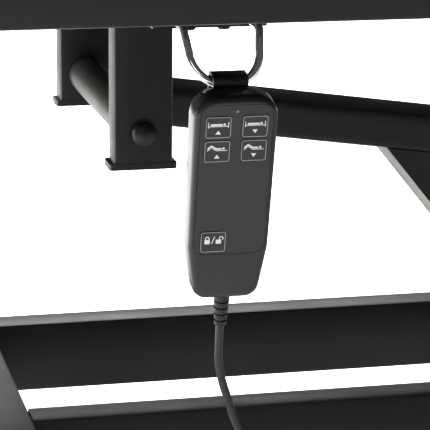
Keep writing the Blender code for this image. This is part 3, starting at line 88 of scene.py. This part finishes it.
def add_grain(made, scale, depth, colours=None, roughness=None, detail=4.0, stretch=(1, 1, 1)):
    """Fine noise over a material: its bump, and if asked its colour and roughness."""
    tree = made.node_tree
    shader = tree.nodes["Principled BSDF"]
    place = tree.nodes.new("ShaderNodeTexCoord")
    turn = tree.nodes.new("ShaderNodeMapping")
    turn.inputs["Scale"].default_value = stretch
    tree.links.new(place.outputs["Object"], turn.inputs["Vector"])
    noise = tree.nodes.new("ShaderNodeTexNoise")
    noise.inputs["Scale"].default_value = scale
    noise.inputs["Detail"].default_value = detail
    tree.links.new(turn.outputs["Vector"], noise.inputs["Vector"])
    bump = tree.nodes.new("ShaderNodeBump")
    bump.inputs["Strength"].default_value = 1.0
    bump.inputs["Distance"].default_value = depth
    tree.links.new(noise.outputs["Fac"], bump.inputs["Height"])
    tree.links.new(bump.outputs["Normal"], shader.inputs["Normal"])
    wide = tree.nodes.new("ShaderNodeTexNoise")
    wide.inputs["Scale"].default_value = scale / 60
    wide.inputs["Detail"].default_value = 6.0
    tree.links.new(turn.outputs["Vector"], wide.inputs["Vector"])
    if colours:
        ramp = tree.nodes.new("ShaderNodeValToRGB")
        ramp.color_ramp.elements[0].position = 0.3
        ramp.color_ramp.elements[1].position = 0.7
        ramp.color_ramp.elements[0].color = (*colours[0], 1)
        ramp.color_ramp.elements[1].color = (*colours[1], 1)
        tree.links.new(wide.outputs["Fac"], ramp.inputs["Fac"])
        tree.links.new(ramp.outputs["Color"], shader.inputs["Base Color"])
    if roughness:
        spread = tree.nodes.new("ShaderNodeMapRange")
        spread.inputs["From Min"].default_value = 0.3
        spread.inputs["From Max"].default_value = 0.7
        spread.inputs["To Min"].default_value = roughness[0]
        spread.inputs["To Max"].default_value = roughness[1]
        tree.links.new(wide.outputs["Fac"], spread.inputs["Value"])
        tree.links.new(spread.outputs["Result"], shader.inputs["Roughness"])
    return made


def finish_node(name, *materials):
    """Gives a carried-over solid its finish and smooths its rounded faces."""
    node = nodes[name]
    for face in node.data.polygons:
        face.use_smooth = True
    weld = node.modifiers.new("weld", "WELD")
    weld.merge_threshold = 0.000002
    split = node.modifiers.new("split", "EDGE_SPLIT")
    split.split_angle = math.radians(38)
    node.data.materials.clear()
    for made in materials:
        node.data.materials.append(made)


def mesh_from_curve(name, line):
    """A curve's tube or plate as a mesh object."""
    drawn = bpy.data.objects.new(name, line)
    bpy.context.scene.collection.objects.link(drawn)
    mesh = bpy.data.meshes.new_from_object(drawn.evaluated_get(bpy.context.evaluated_depsgraph_get()))
    bpy.data.objects.remove(drawn)
    made = bpy.data.objects.new(name, mesh)
    bpy.context.scene.collection.objects.link(made)
    return made


def weld_and_smooth(mesh, sharp_degrees):
    """Joins the end caps to a tube and shades it smooth, but for its sharp folds."""
    shape = bmesh.new()
    shape.from_mesh(mesh)
    bmesh.ops.remove_doubles(shape, verts=shape.verts, dist=1e-6)
    shape.to_mesh(mesh)
    shape.free()
    mesh.shade_smooth()
    mesh.set_sharp_from_angle(angle=math.radians(sharp_degrees))


cord_jacket = add_grain(
    paint("cord_jacket", (0.006, 0.006, 0.006), 0.38, gloss=0.3), 900, 0.00002,
    ((0.005, 0.005, 0.005), (0.008, 0.008, 0.008)), (0.32, 0.46))

TILT = math.radians(12.0)
RING = Vector((-0.4345, -0.3161, 0.3895))
handset_frame = Matrix.Translation(RING) @ Matrix.Rotation(TILT, 4, "X")
CASE_MIDDLE_Y = -0.0177
CASE_BOTTOM = -0.1425
BOOT_LENGTH = 0.0245
cord_exit = handset_frame @ Vector((0, CASE_MIDDLE_Y, CASE_BOTTOM - 0.0003 - BOOT_LENGTH - 0.0006))
cord_down = handset_frame.to_3x3() @ Vector((0, 0, -1))
cord_end = Vector((0.305, -0.215, 0.4297))
cord_route = [
    cord_exit,
    cord_exit + cord_down * 0.006,
    Vector((-0.4342, -0.2948, 0.2040)),
    Vector((-0.4336, -0.2925, 0.1930)),
    Vector((-0.4308, -0.2908, 0.1790)),
    Vector((-0.4262, -0.2897, 0.1650)),
    Vector((-0.4190, -0.2887, 0.1450)),
    Vector((-0.4010, -0.2875, 0.1150)),
    Vector((-0.3760, -0.2860, 0.0910)),
    Vector((-0.3400, -0.2840, 0.0700)),
    Vector((-0.2900, -0.2815, 0.0540)),
    Vector((-0.2300, -0.2780, 0.0460)),
    Vector((-0.1600, -0.2740, 0.0470)),
    Vector((-0.0900, -0.2690, 0.0560)),
    Vector((-0.0200, -0.2630, 0.0740)),
    Vector((0.0450, -0.2560, 0.1020)),
    Vector((0.1050, -0.2480, 0.1400)),
    Vector((0.1650, -0.2390, 0.1900)),
    Vector((0.2200, -0.2290, 0.2500)),
    Vector((0.2640, -0.2210, 0.3120)),
    Vector((0.2930, -0.2165, 0.3680)),
    Vector((0.3040, -0.2151, 0.4040)),
    cord_end - Vector((0, 0, 0.006)),
    cord_end,
]
guides = [2 * cord_route[0] - cord_route[1], *cord_route, 2 * cord_route[-1] - cord_route[-2]]
cord_points = [cord_route[0]]
for a, b, c, d in zip(guides, guides[1:], guides[2:], guides[3:]):
    for step in range(1, 9):
        t = step / 8
        cord_points.append(0.5 * (2 * b + (c - a) * t + (2 * a - 5 * b + 4 * c - d) * t * t
                                  + (3 * b - a - 3 * c + d) * t ** 3))
cord_line = bpy.data.curves.new("handset_cord_jacket", "CURVE")
cord_line.dimensions = "3D"
cord_line.bevel_depth = 0.0029
cord_line.bevel_resolution = 4
cord_line.use_fill_caps = True
cord_spline = cord_line.splines.new("POLY")
cord_spline.points.add(len(cord_points) - 1)
for point, target in zip(cord_spline.points, cord_points):
    point.co = (*target, 1)
cord_line.materials.append(cord_jacket)
cord = mesh_from_curve("handset_cord_jacket", cord_line)
weld_and_smooth(cord.data, 50)
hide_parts("handset_cord")
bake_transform(cord)


# Frames: the floor frame, lift arms, top frame and hinge frames are welded steel tube
# and plate, powder-coated black with a fine matte texture.
powder_coat = add_grain(
    paint("black_powder_coat", (0.0050, 0.0048, 0.0046), 0.52, gloss=0.22), 1500, 0.00010,
    ((0.0042, 0.0040, 0.0038), (0.0062, 0.0059, 0.0056)), (0.46, 0.58), 3.0)


STEEL = ["floor_rail_near", "floor_rail_far", "cross_foot_1", "cross_foot_2", "actuator_anchor",
         "lift_arm_a", "lift_arm_b", "lift_lever", "side_rail_near", "side_rail_far",
         "end_rail_foot", "end_rail_head", "cross_beam_a", "cross_beam_b", "knee_beam",
         "thigh_frame", "leg_frame", "leg_link", "head_frame", "ring_clamp"]
for name in STEEL:
    finish_node(name, powder_coat)


# Levelling feet, control box and actuator housings: moulded black plastic with a fine spark
# texture that catches a soft highlight.
black_plastic = add_grain(
    paint("black_plastic", (0.0048, 0.0048, 0.0048), 0.40, gloss=0.25), 2200, 0.00005,
    ((0.0040, 0.0040, 0.0040), (0.0060, 0.0060, 0.0060)), (0.34, 0.46))
for name in ("levelling_foot_1", "levelling_foot_2", "levelling_foot_3", "levelling_foot_4",
             "control_box", "lift_actuator_housing", "knee_actuator_housing"):
    finish_node(name, black_plastic)


# Pivot axles: turned pins that end in domed push-on caps outside the posts. Each is a
# profile turned round the axle's own line.
CAP_RADIUS, CAP_HEIGHT, CAP_RIM, AXLE_RADIUS = 0.01075, 0.0075, 0.0009, 0.006
for name, body in (("pivot_axle_1", "floor_frame"), ("pivot_axle_2", "floor_frame"),
                   ("pivot_axle_3", "top_frame"), ("pivot_axle_4", "top_frame")):
    low, high = (Vector(corner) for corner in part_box(name))
    reach = high.y
    base = reach - CAP_HEIGHT
    dome = [((CAP_RADIUS - CAP_RIM) * math.sin(math.radians(90 * step / 14)),
             base + CAP_RIM + (CAP_HEIGHT - CAP_RIM) * math.cos(math.radians(90 * step / 14)))
            for step in range(15)]
    half = [*dome, (CAP_RADIUS, base + CAP_RIM), (CAP_RADIUS, base), (AXLE_RADIUS, base)]
    profile = [*half, *[(r, -y) for r, y in reversed(half)]]
    turned = bpy.data.meshes.new(name + "_turned")
    turned.from_pydata([(r, y, 0) for r, y in profile],
                       [(i, i + 1) for i in range(len(profile) - 1)], [])
    axle = bpy.data.objects.new(name + "_turned", turned)
    bpy.context.scene.collection.objects.link(axle)
    bpy.ops.object.select_all(action="DESELECT")
    axle.select_set(True)
    bpy.context.view_layer.objects.active = axle
    screw = axle.modifiers.new("turn", "SCREW")
    screw.axis = "Y"
    screw.steps = 48
    screw.render_steps = 48
    screw.use_merge_vertices = True
    screw.merge_threshold = 1e-6
    screw.use_normal_calculate = True
    bpy.ops.object.modifier_apply(modifier="turn")
    turned = axle.data
    shape = bmesh.new()
    shape.from_mesh(turned)
    bmesh.ops.translate(shape, verts=shape.verts,
                        vec=((low.x + high.x) / 2, 0, (low.z + high.z) / 2))
    bmesh.ops.recalc_face_normals(shape, faces=shape.faces)
    shape.to_mesh(turned)
    shape.free()
    turned.shade_smooth()
    turned.set_sharp_from_angle(angle=math.radians(40))
    turned.materials.clear()
    turned.materials.append(black_plastic)
    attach(axle, body)
    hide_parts(name)


# Zinc-plated rods and pale nylon bushes, turned parts inside the linkage.
zinc = add_grain(paint("zinc", (0.50, 0.50, 0.52), 0.32, 1.0), 800, 0.00002,
                 ((0.44, 0.44, 0.46), (0.56, 0.56, 0.58)), (0.26, 0.40), 3.0, (1, 8, 8))
nylon = add_grain(paint("bush_nylon", (0.62, 0.61, 0.56), 0.45), 900, 0.00003,
                  ((0.56, 0.55, 0.50), (0.66, 0.65, 0.60)), (0.40, 0.52))
for name in ("lift_actuator_rod", "knee_actuator_rod"):
    finish_node(name, zinc)
for name in ("bush_a_upper", "bush_a_lower", "bush_b_upper", "bush_b_lower"):
    finish_node(name, nylon)


# Deck boards: plywood faced in black film, with a fine streaked grain.
board_film = add_grain(paint("black_ply", (0.028, 0.026, 0.024), 0.55), 700, 0.00005,
                       ((0.023, 0.022, 0.020), (0.034, 0.031, 0.028)), (0.48, 0.62), 5.0, (1, 14, 1))
for name in ("leg_board", "thigh_board", "torso_board", "head_board"):
    finish_node(name, board_film)


# Pads: foam in a sewn leatherette cover, a slab with a flat top and rounded edges, and a
# piped seam round the lower edge. The cover is inflated as cloth up to a small limit,
# which its whole top reaches, and the sides fall away a little towards their edges.
PAD_INSET = 0.004
PAD_VOXEL = 0.0065
PAD_SWELL = 0.007
PAD_CROWN = 0.0035
PAD_FRAMES = 12
PIPING_RADIUS = 0.0016
leatherette = paint("black_leatherette", (0.008, 0.008, 0.009), 0.60, gloss=0.2)
leather_tree = leatherette.node_tree
leather_place = leather_tree.nodes.new("ShaderNodeTexCoord")
leather_cells = leather_tree.nodes.new("ShaderNodeTexVoronoi")
leather_cells.feature = "DISTANCE_TO_EDGE"
leather_cells.inputs["Scale"].default_value = 420
leather_noise = leather_tree.nodes.new("ShaderNodeTexNoise")
leather_noise.inputs["Scale"].default_value = 40
leather_noise.inputs["Detail"].default_value = 6
leather_bump = leather_tree.nodes.new("ShaderNodeBump")
leather_bump.inputs["Strength"].default_value = 0.3
leather_bump.inputs["Distance"].default_value = 0.00025
leather_spread = leather_tree.nodes.new("ShaderNodeMapRange")
leather_spread.inputs["From Min"].default_value = 0.3
leather_spread.inputs["From Max"].default_value = 0.7
leather_spread.inputs["To Min"].default_value = 0.55
leather_spread.inputs["To Max"].default_value = 0.68
leather_ramp = leather_tree.nodes.new("ShaderNodeValToRGB")
leather_ramp.color_ramp.elements[0].color = (0.006, 0.006, 0.007, 1)
leather_ramp.color_ramp.elements[1].color = (0.010, 0.010, 0.011, 1)
leather_shader = leather_tree.nodes["Principled BSDF"]
for source, sink in (
    (leather_place.outputs["Object"], leather_cells.inputs["Vector"]),
    (leather_place.outputs["Object"], leather_noise.inputs["Vector"]),
    (leather_cells.outputs["Distance"], leather_bump.inputs["Height"]),
    (leather_bump.outputs["Normal"], leather_shader.inputs["Normal"]),
    (leather_noise.outputs["Fac"], leather_spread.inputs["Value"]),
    (leather_spread.outputs["Result"], leather_shader.inputs["Roughness"]),
    (leather_noise.outputs["Fac"], leather_ramp.inputs["Fac"]),
    (leather_ramp.outputs["Color"], leather_shader.inputs["Base Color"]),
):
    leather_tree.links.new(source, sink)


def make_pad(node_name, body):
    """One section's pad: a rounded slab, inflated to its limit, with a piped seam."""
    low, high = (Vector(corner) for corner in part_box(node_name))
    bpy.ops.object.select_all(action="DESELECT")
    size = high - low
    bpy.ops.mesh.primitive_cube_add(size=1, location=(0, 0, 0))
    pad = bpy.context.object
    pad.name = node_name + "_cover"
    pad.scale = (size.x - 2 * PAD_INSET, size.y - 2 * PAD_INSET, size.z - PAD_INSET)
    pad.location = ((low.x + high.x) / 2, 0, (low.z + high.z) / 2 - PAD_INSET / 2)
    bpy.ops.object.transform_apply(location=True, rotation=True, scale=True)
    edge = pad.modifiers.new("edge", "BEVEL")
    edge.width = 0.012
    edge.segments = 4
    bpy.ops.object.modifier_apply(modifier="edge")
    grid = pad.modifiers.new("grid", "REMESH")
    grid.mode = "VOXEL"
    grid.voxel_size = PAD_VOXEL
    bpy.ops.object.modifier_apply(modifier="grid")
    start = [v.co.copy() for v in pad.data.vertices]
    cloth = pad.modifiers.new("cloth", "CLOTH")
    cloth.settings.use_pressure = True
    cloth.settings.uniform_pressure_force = 4
    cloth.settings.effector_weights.gravity = 0
    cloth.settings.quality = 4
    for number in range(1, PAD_FRAMES + 1):
        bpy.context.scene.frame_set(number)
    bpy.ops.object.modifier_apply(modifier="cloth")
    bpy.context.scene.frame_set(1)
    base = low.z + 0.0005
    for vertex, home in zip(pad.data.vertices, start):
        move = vertex.co - home
        if move.length > PAD_SWELL:
            move = move.normalized() * PAD_SWELL
        spot = home + move
        rise = min(1.0, max(0.0, (home.z - base) / (size.z * 0.5)))
        spot = home.lerp(spot, rise)
        spot.x = min(max(spot.x, low.x + 0.001), high.x - 0.001)
        spot.y = min(max(spot.y, low.y + 0.001), high.y - 0.001)
        crown = PAD_CROWN * (1 - (2 * abs(home.y) / size.y) ** 4)
        spot.z = min(max(spot.z, base), high.z + crown)
        vertex.co = spot
    smooth = pad.modifiers.new("smooth", "SMOOTH")
    smooth.factor = 0.5
    smooth.iterations = 4
    bpy.ops.object.modifier_apply(modifier="smooth")
    finer = pad.modifiers.new("finer", "SUBSURF")
    finer.levels = 1
    finer.render_levels = 1
    bpy.ops.object.modifier_apply(modifier="finer")
    pad.data.shade_smooth()
    pad.data.materials.append(leatherette)
    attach(pad, body)
    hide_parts(node_name)
    make_piping(pad.name + "_piping", low, high, body)


def make_piping(name, low, high, body):
    """The welt in the seam round a pad's lower edge."""
    z = low.z + 0.0060
    reach_x, reach_y = (high.x - low.x) / 2 - 0.0030, (high.y - low.y) / 2 - 0.0030
    line = bpy.data.curves.new(name, "CURVE")
    line.dimensions = "3D"
    line.bevel_depth = PIPING_RADIUS
    line.bevel_resolution = 3
    spline = line.splines.new("POLY")
    radius = 0.012
    points = []
    for sx, sy, first in ((1, 1, 0), (-1, 1, 90), (-1, -1, 180), (1, -1, 270)):
        for step in range(7):
            angle = math.radians(first + 15 * step)
            points.append((
                (low.x + high.x) / 2 + sx * (reach_x - radius) + radius * math.cos(angle),
                sy * (reach_y - radius) + radius * math.sin(angle), z))
    spline.points.add(len(points) - 1)
    for point, target in zip(spline.points, points):
        point.co = (*target, 1)
    spline.use_cyclic_u = True
    piping = mesh_from_curve(name, line)
    piping.data.materials.clear()
    piping.data.materials.append(leatherette)
    piping.data.shade_smooth()
    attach(piping, body)


make_pad("leg_pad", "leg_section")
make_pad("thigh_pad", "thigh_section")
make_pad("torso_pad", "top_frame")
make_pad("head_pad", "head_section")


# Ring: a bent rod of polished chrome that carries the handset. It is drawn a little
# thinner than its solid, so that the hook clears it at the end of its swing.
RING_ROD_RADIUS = 0.00285
chrome = add_grain(paint("chrome", (0.75, 0.75, 0.77), 0.07, 1.0), 300, 0.000004,
                   ((0.72, 0.72, 0.74), (0.78, 0.78, 0.80)), (0.05, 0.10))
LEAN = math.radians(31.5)
ring_up = Vector((0, math.sin(LEAN), math.cos(LEAN)))
ring_bend = math.pi / 2 - LEAN
ring_run = 0.428 - 0.0003 - 0.003
RING_RADIUS, RING_BEND, RING_SPREAD = 0.0236, 0.007, 0.0018
ring_leg = (ring_run - RING_BEND * (1 - math.cos(ring_bend)) - RING.z) / ring_up.z
half_ring = []
for step in range(24):
    angle = math.radians(90) * step / 24
    half_ring.append(RING + Vector((RING_RADIUS * math.sin(angle), 0, 0))
                     + ring_up * RING_RADIUS * (1 - math.cos(angle)))
half_ring.append(RING + Vector((RING_RADIUS, 0, 0)) + ring_up * RING_RADIUS)
ring_top = RING + Vector((RING_RADIUS + RING_SPREAD, 0, 0)) + ring_up * ring_leg
ring_side = ring_up.cross(Vector((0, 1, 0))).cross(ring_up).normalized()
for step in range(13):
    angle = ring_bend * step / 12
    half_ring.append(ring_top + ring_up * RING_BEND * math.sin(angle)
                     + ring_side * RING_BEND * (1 - math.cos(angle)))
half_ring.append(Vector((ring_top.x, -0.234, ring_run)))
other_half = [Vector((2 * RING.x - p.x, p.y, p.z)) for p in reversed(half_ring[1:])]
ring_line = bpy.data.curves.new("chrome_ring", "CURVE")
ring_line.dimensions = "3D"
ring_line.bevel_depth = RING_ROD_RADIUS
ring_line.bevel_resolution = 8
ring_line.use_fill_caps = True
ring_spline = ring_line.splines.new("POLY")
ring_spline.points.add(len(half_ring) + len(other_half) - 1)
for point, target in zip(ring_spline.points, other_half + half_ring):
    point.co = (*target, 1)
ring_line.materials.append(chrome)
ring_bar = mesh_from_curve("chrome_ring", ring_line)
weld_and_smooth(ring_bar.data, 60)
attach(ring_bar, "top_frame")
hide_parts("handset_ring")


# Handset: two moulded shells of satin black plastic. The front shell holds a printed
# film with five keys; its lower end tapers to the boot.
handset_plastic = add_grain(
    paint("handset_plastic", (0.0075, 0.0075, 0.0078), 0.30, gloss=0.3), 2600, 0.00002,
    ((0.0065, 0.0065, 0.0068), (0.0090, 0.0090, 0.0094)), (0.26, 0.34))
key_film = add_grain(paint("key_film", (0.0120, 0.0120, 0.0124), 0.40, gloss=0.3), 2600, 0.00001,
                     ((0.0110, 0.0110, 0.0113), (0.0135, 0.0135, 0.0139)), (0.36, 0.44))
print_white = paint("print_white", (0.62, 0.62, 0.62), 0.55)
print_grey = paint("print_grey", (0.36, 0.36, 0.37), 0.55)
led_lens = paint("led_lens", (0.12, 0.13, 0.12), 0.18)
solder_mask = add_grain(paint("circuit_board", (0.020, 0.110, 0.050), 0.45), 400, 0.00003,
                        ((0.016, 0.09, 0.04), (0.024, 0.13, 0.06)), (0.4, 0.5))
FACE = -0.0285
for name in ("handset_front_shell", "handset_back_shell"):
    finish_node(name, handset_plastic)
for name in ("handset_hook", "cord_boot"):
    finish_node(name, black_plastic)
for name in ("keypad_overlay", "key_height_up", "key_height_down", "key_knee_up",
             "key_knee_down", "key_lock"):
    finish_node(name, key_film)
finish_node("status_led", led_lens)
finish_node("circuit_board", solder_mask)

# Printing on the keys: thin flat shapes of ink, a rounded outline and its symbol.
PRINT_DEPTH = 0.00012


def rounded_box(x, z, half_x, half_z, radius, steps=5):
    """Points round a rounded rectangle."""
    points = []
    for sx, sz, first in ((1, 1, 0), (-1, 1, 90), (-1, -1, 180), (1, -1, 270)):
        for step in range(steps + 1):
            angle = math.radians(first + 90 * step / steps)
            points.append((x + sx * (half_x - radius) + radius * math.cos(angle),
                           z + sz * (half_z - radius) + radius * math.sin(angle)))
    return points


def stroke(points, width):
    """A flat band of even width along a line, as one closed outline."""
    left, right_side = [], []
    for i, (x, z) in enumerate(points):
        before = points[max(0, i - 1)]
        after = points[min(len(points) - 1, i + 1)]
        run = Vector((after[0] - before[0], after[1] - before[1])).normalized()
        off = Vector((-run.y, run.x)) * width / 2
        left.append((x + off.x, z + off.y))
        right_side.append((x - off.x, z - off.y))
    return left + list(reversed(right_side))


def print_shapes(name, outlines, material, body, proud):
    """Ink shapes on the handset's face, each a list of outlines; holes follow their rim."""
    line = bpy.data.curves.new(name, "CURVE")
    line.dimensions = "2D"
    line.fill_mode = "BOTH"
    line.extrude = PRINT_DEPTH / 2
    for outline in outlines:
        spline = line.splines.new("POLY")
        spline.points.add(len(outline) - 1)
        for point, (x, z) in zip(spline.points, outline):
            point.co = (x, z, 0, 1)
        spline.use_cyclic_u = True
    ink = mesh_from_curve(name, line)
    mesh = ink.data
    shape = bmesh.new()
    shape.from_mesh(mesh)
    bmesh.ops.remove_doubles(shape, verts=shape.verts, dist=1e-7)
    bmesh.ops.recalc_face_normals(shape, faces=shape.faces)
    stand = Matrix.Rotation(math.radians(90), 4, "X")
    lift = Matrix.Translation((0, FACE - proud - PRINT_DEPTH / 2, 0))
    bmesh.ops.transform(shape, matrix=handset_frame @ lift @ stand, verts=shape.verts)
    shape.to_mesh(mesh)
    shape.free()
    mesh.materials.clear()
    mesh.materials.append(material)
    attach(ink, body)
    return ink


def flat_bed(x, z, way):
    """A lying figure on a bed between two posts, and a triangle beneath."""
    shapes = []
    for side in (-1, 1):
        shapes.append(stroke([(x + side * 0.0066, z + 0.0037), (x + side * 0.0066, z - 0.0002)], 0.0005))
    shapes.append(stroke([(x - 0.0066, z + 0.0009), (x + 0.0066, z + 0.0009)], 0.0005))
    shapes.append(rounded_box(x - 0.0012, z + 0.0020, 0.0040, 0.0006, 0.0005))
    shapes.append(rounded_box(x + 0.0040, z + 0.0022, 0.0008, 0.0008, 0.00079))
    shapes.append(triangle(x, z - 0.0034, way))
    return shapes


def triangle(x, z, way):
    return [(x - 0.0018, z - way * 0.0013), (x + 0.0018, z - way * 0.0013), (x, z + way * 0.0013)]


def bent_bed(x, z, way):
    """A lying figure with raised knees, and a triangle beneath."""
    knees = [(x - 0.0066, z + 0.0006), (x - 0.0040, z + 0.0030),
             (x - 0.0008, z + 0.0008), (x + 0.0066, z + 0.0008)]
    figure = [(x - 0.0064, z + 0.0020), (x - 0.0040, z + 0.0042),
              (x - 0.0006, z + 0.0020), (x + 0.0028, z + 0.0020)]
    return [stroke(knees, 0.0005), stroke(figure, 0.0011),
            rounded_box(x + 0.0042, z + 0.0022, 0.0008, 0.0008, 0.00079),
            triangle(x, z - 0.0034, way)]


def padlock(x, z, opened):
    """A filled padlock body with its shackle, closed or swung up to one side."""
    turns = [math.radians(180 * i / 8) for i in range(9)]
    middle = x + (0.0017 if opened else 0)
    arch = [(middle + 0.0012 * math.cos(a), z + 0.0014 + 0.0013 * math.sin(a)) for a in turns]
    shackle = [(middle + 0.0012, z + 0.0004), *arch, (middle - 0.0012, z + 0.0004)]
    return [rounded_box(x, z - 0.0010, 0.0018, 0.0015, 0.0003), stroke(shackle, 0.0006)]


KEYS = {
    "key_height_up": (-0.0122, -0.0169, "flat", 1),
    "key_height_down": (0.0122, -0.0169, "flat", -1),
    "key_knee_up": (-0.0122, -0.0338, "bent", 1),
    "key_knee_down": (0.0122, -0.0338, "bent", -1),
    "key_lock": (-0.0112, -0.0991, "lock", 0),
}
for name, (x, z, symbol, way) in KEYS.items():
    rim = rounded_box(x, z, 0.0083, 0.0072, 0.0016)
    inner = rounded_box(x, z, 0.0080, 0.0069, 0.0013)
    print_shapes(name + "_outline", [rim, inner], print_grey, name, 0.0006)
    if symbol == "flat":
        shapes = flat_bed(x, z, way)
    elif symbol == "bent":
        shapes = bent_bed(x, z, way)
    else:
        shapes = [*padlock(x - 0.0040, z + 0.0012, False), *padlock(x + 0.0036, z + 0.0012, True),
                  stroke([(x - 0.0010, z - 0.0012), (x + 0.0010, z + 0.0040)], 0.0005)]
    for number, outline in enumerate(shapes, 1):
        print_shapes(f"{name}_print_{number}", [outline], print_white, name, 0.0006)


# Floor and light: a wide pale floor, one large soft light from the upper
# left, one from behind above, a weak one in front, and a floor that glows a little.
bpy.ops.object.select_all(action="DESELECT")
bpy.ops.mesh.primitive_plane_add(size=40, location=(0, 0, -0.0005))
floor = bpy.context.object
floor.name = "floor"
floor.data.materials.append(paint("floor_white", (0.92, 0.92, 0.92), 0.9))
floor_shader = floor.data.materials[0].node_tree.nodes["Principled BSDF"]
floor_shader.inputs["Emission Color"].default_value = (1, 1, 1, 1)
floor_shader.inputs["Emission Strength"].default_value = 0.60


def add_light(name, place, aim, size, power, colour=(1, 1, 1)):
    lamp = bpy.data.lights.new(name, "AREA")
    lamp.shape = "RECTANGLE"
    lamp.size, lamp.size_y = size
    lamp.energy = power
    lamp.color = colour
    made = bpy.data.objects.new(name, lamp)
    bpy.context.scene.collection.objects.link(made)
    made.location = place
    made.rotation_euler = (Vector(aim) - Vector(place)).to_track_quat("-Z", "Y").to_euler()


add_light("key_light", (-3.4, 0.9, 1.5), (-0.4, 0.0, 0.3), (2.2, 1.8), 520, (1, 0.97, 0.93))
add_light("top_light", (-0.6, 2.6, 2.6), (-0.3, 0, 0.2), (3.0, 1.6), 230, (1, 0.98, 0.95))
add_light("front_light", (-2.2, -3.4, 2.2), (-0.3, 0, 0.3), (1.6, 1.2), 14)
world = bpy.data.worlds.new("surround")
bpy.context.scene.world = world
world.use_nodes = True
world.node_tree.nodes["Background"].inputs["Color"].default_value = (1, 1, 1, 1)
world.node_tree.nodes["Background"].inputs["Strength"].default_value = 0.10
bpy.context.scene.view_settings.view_transform = "Standard"
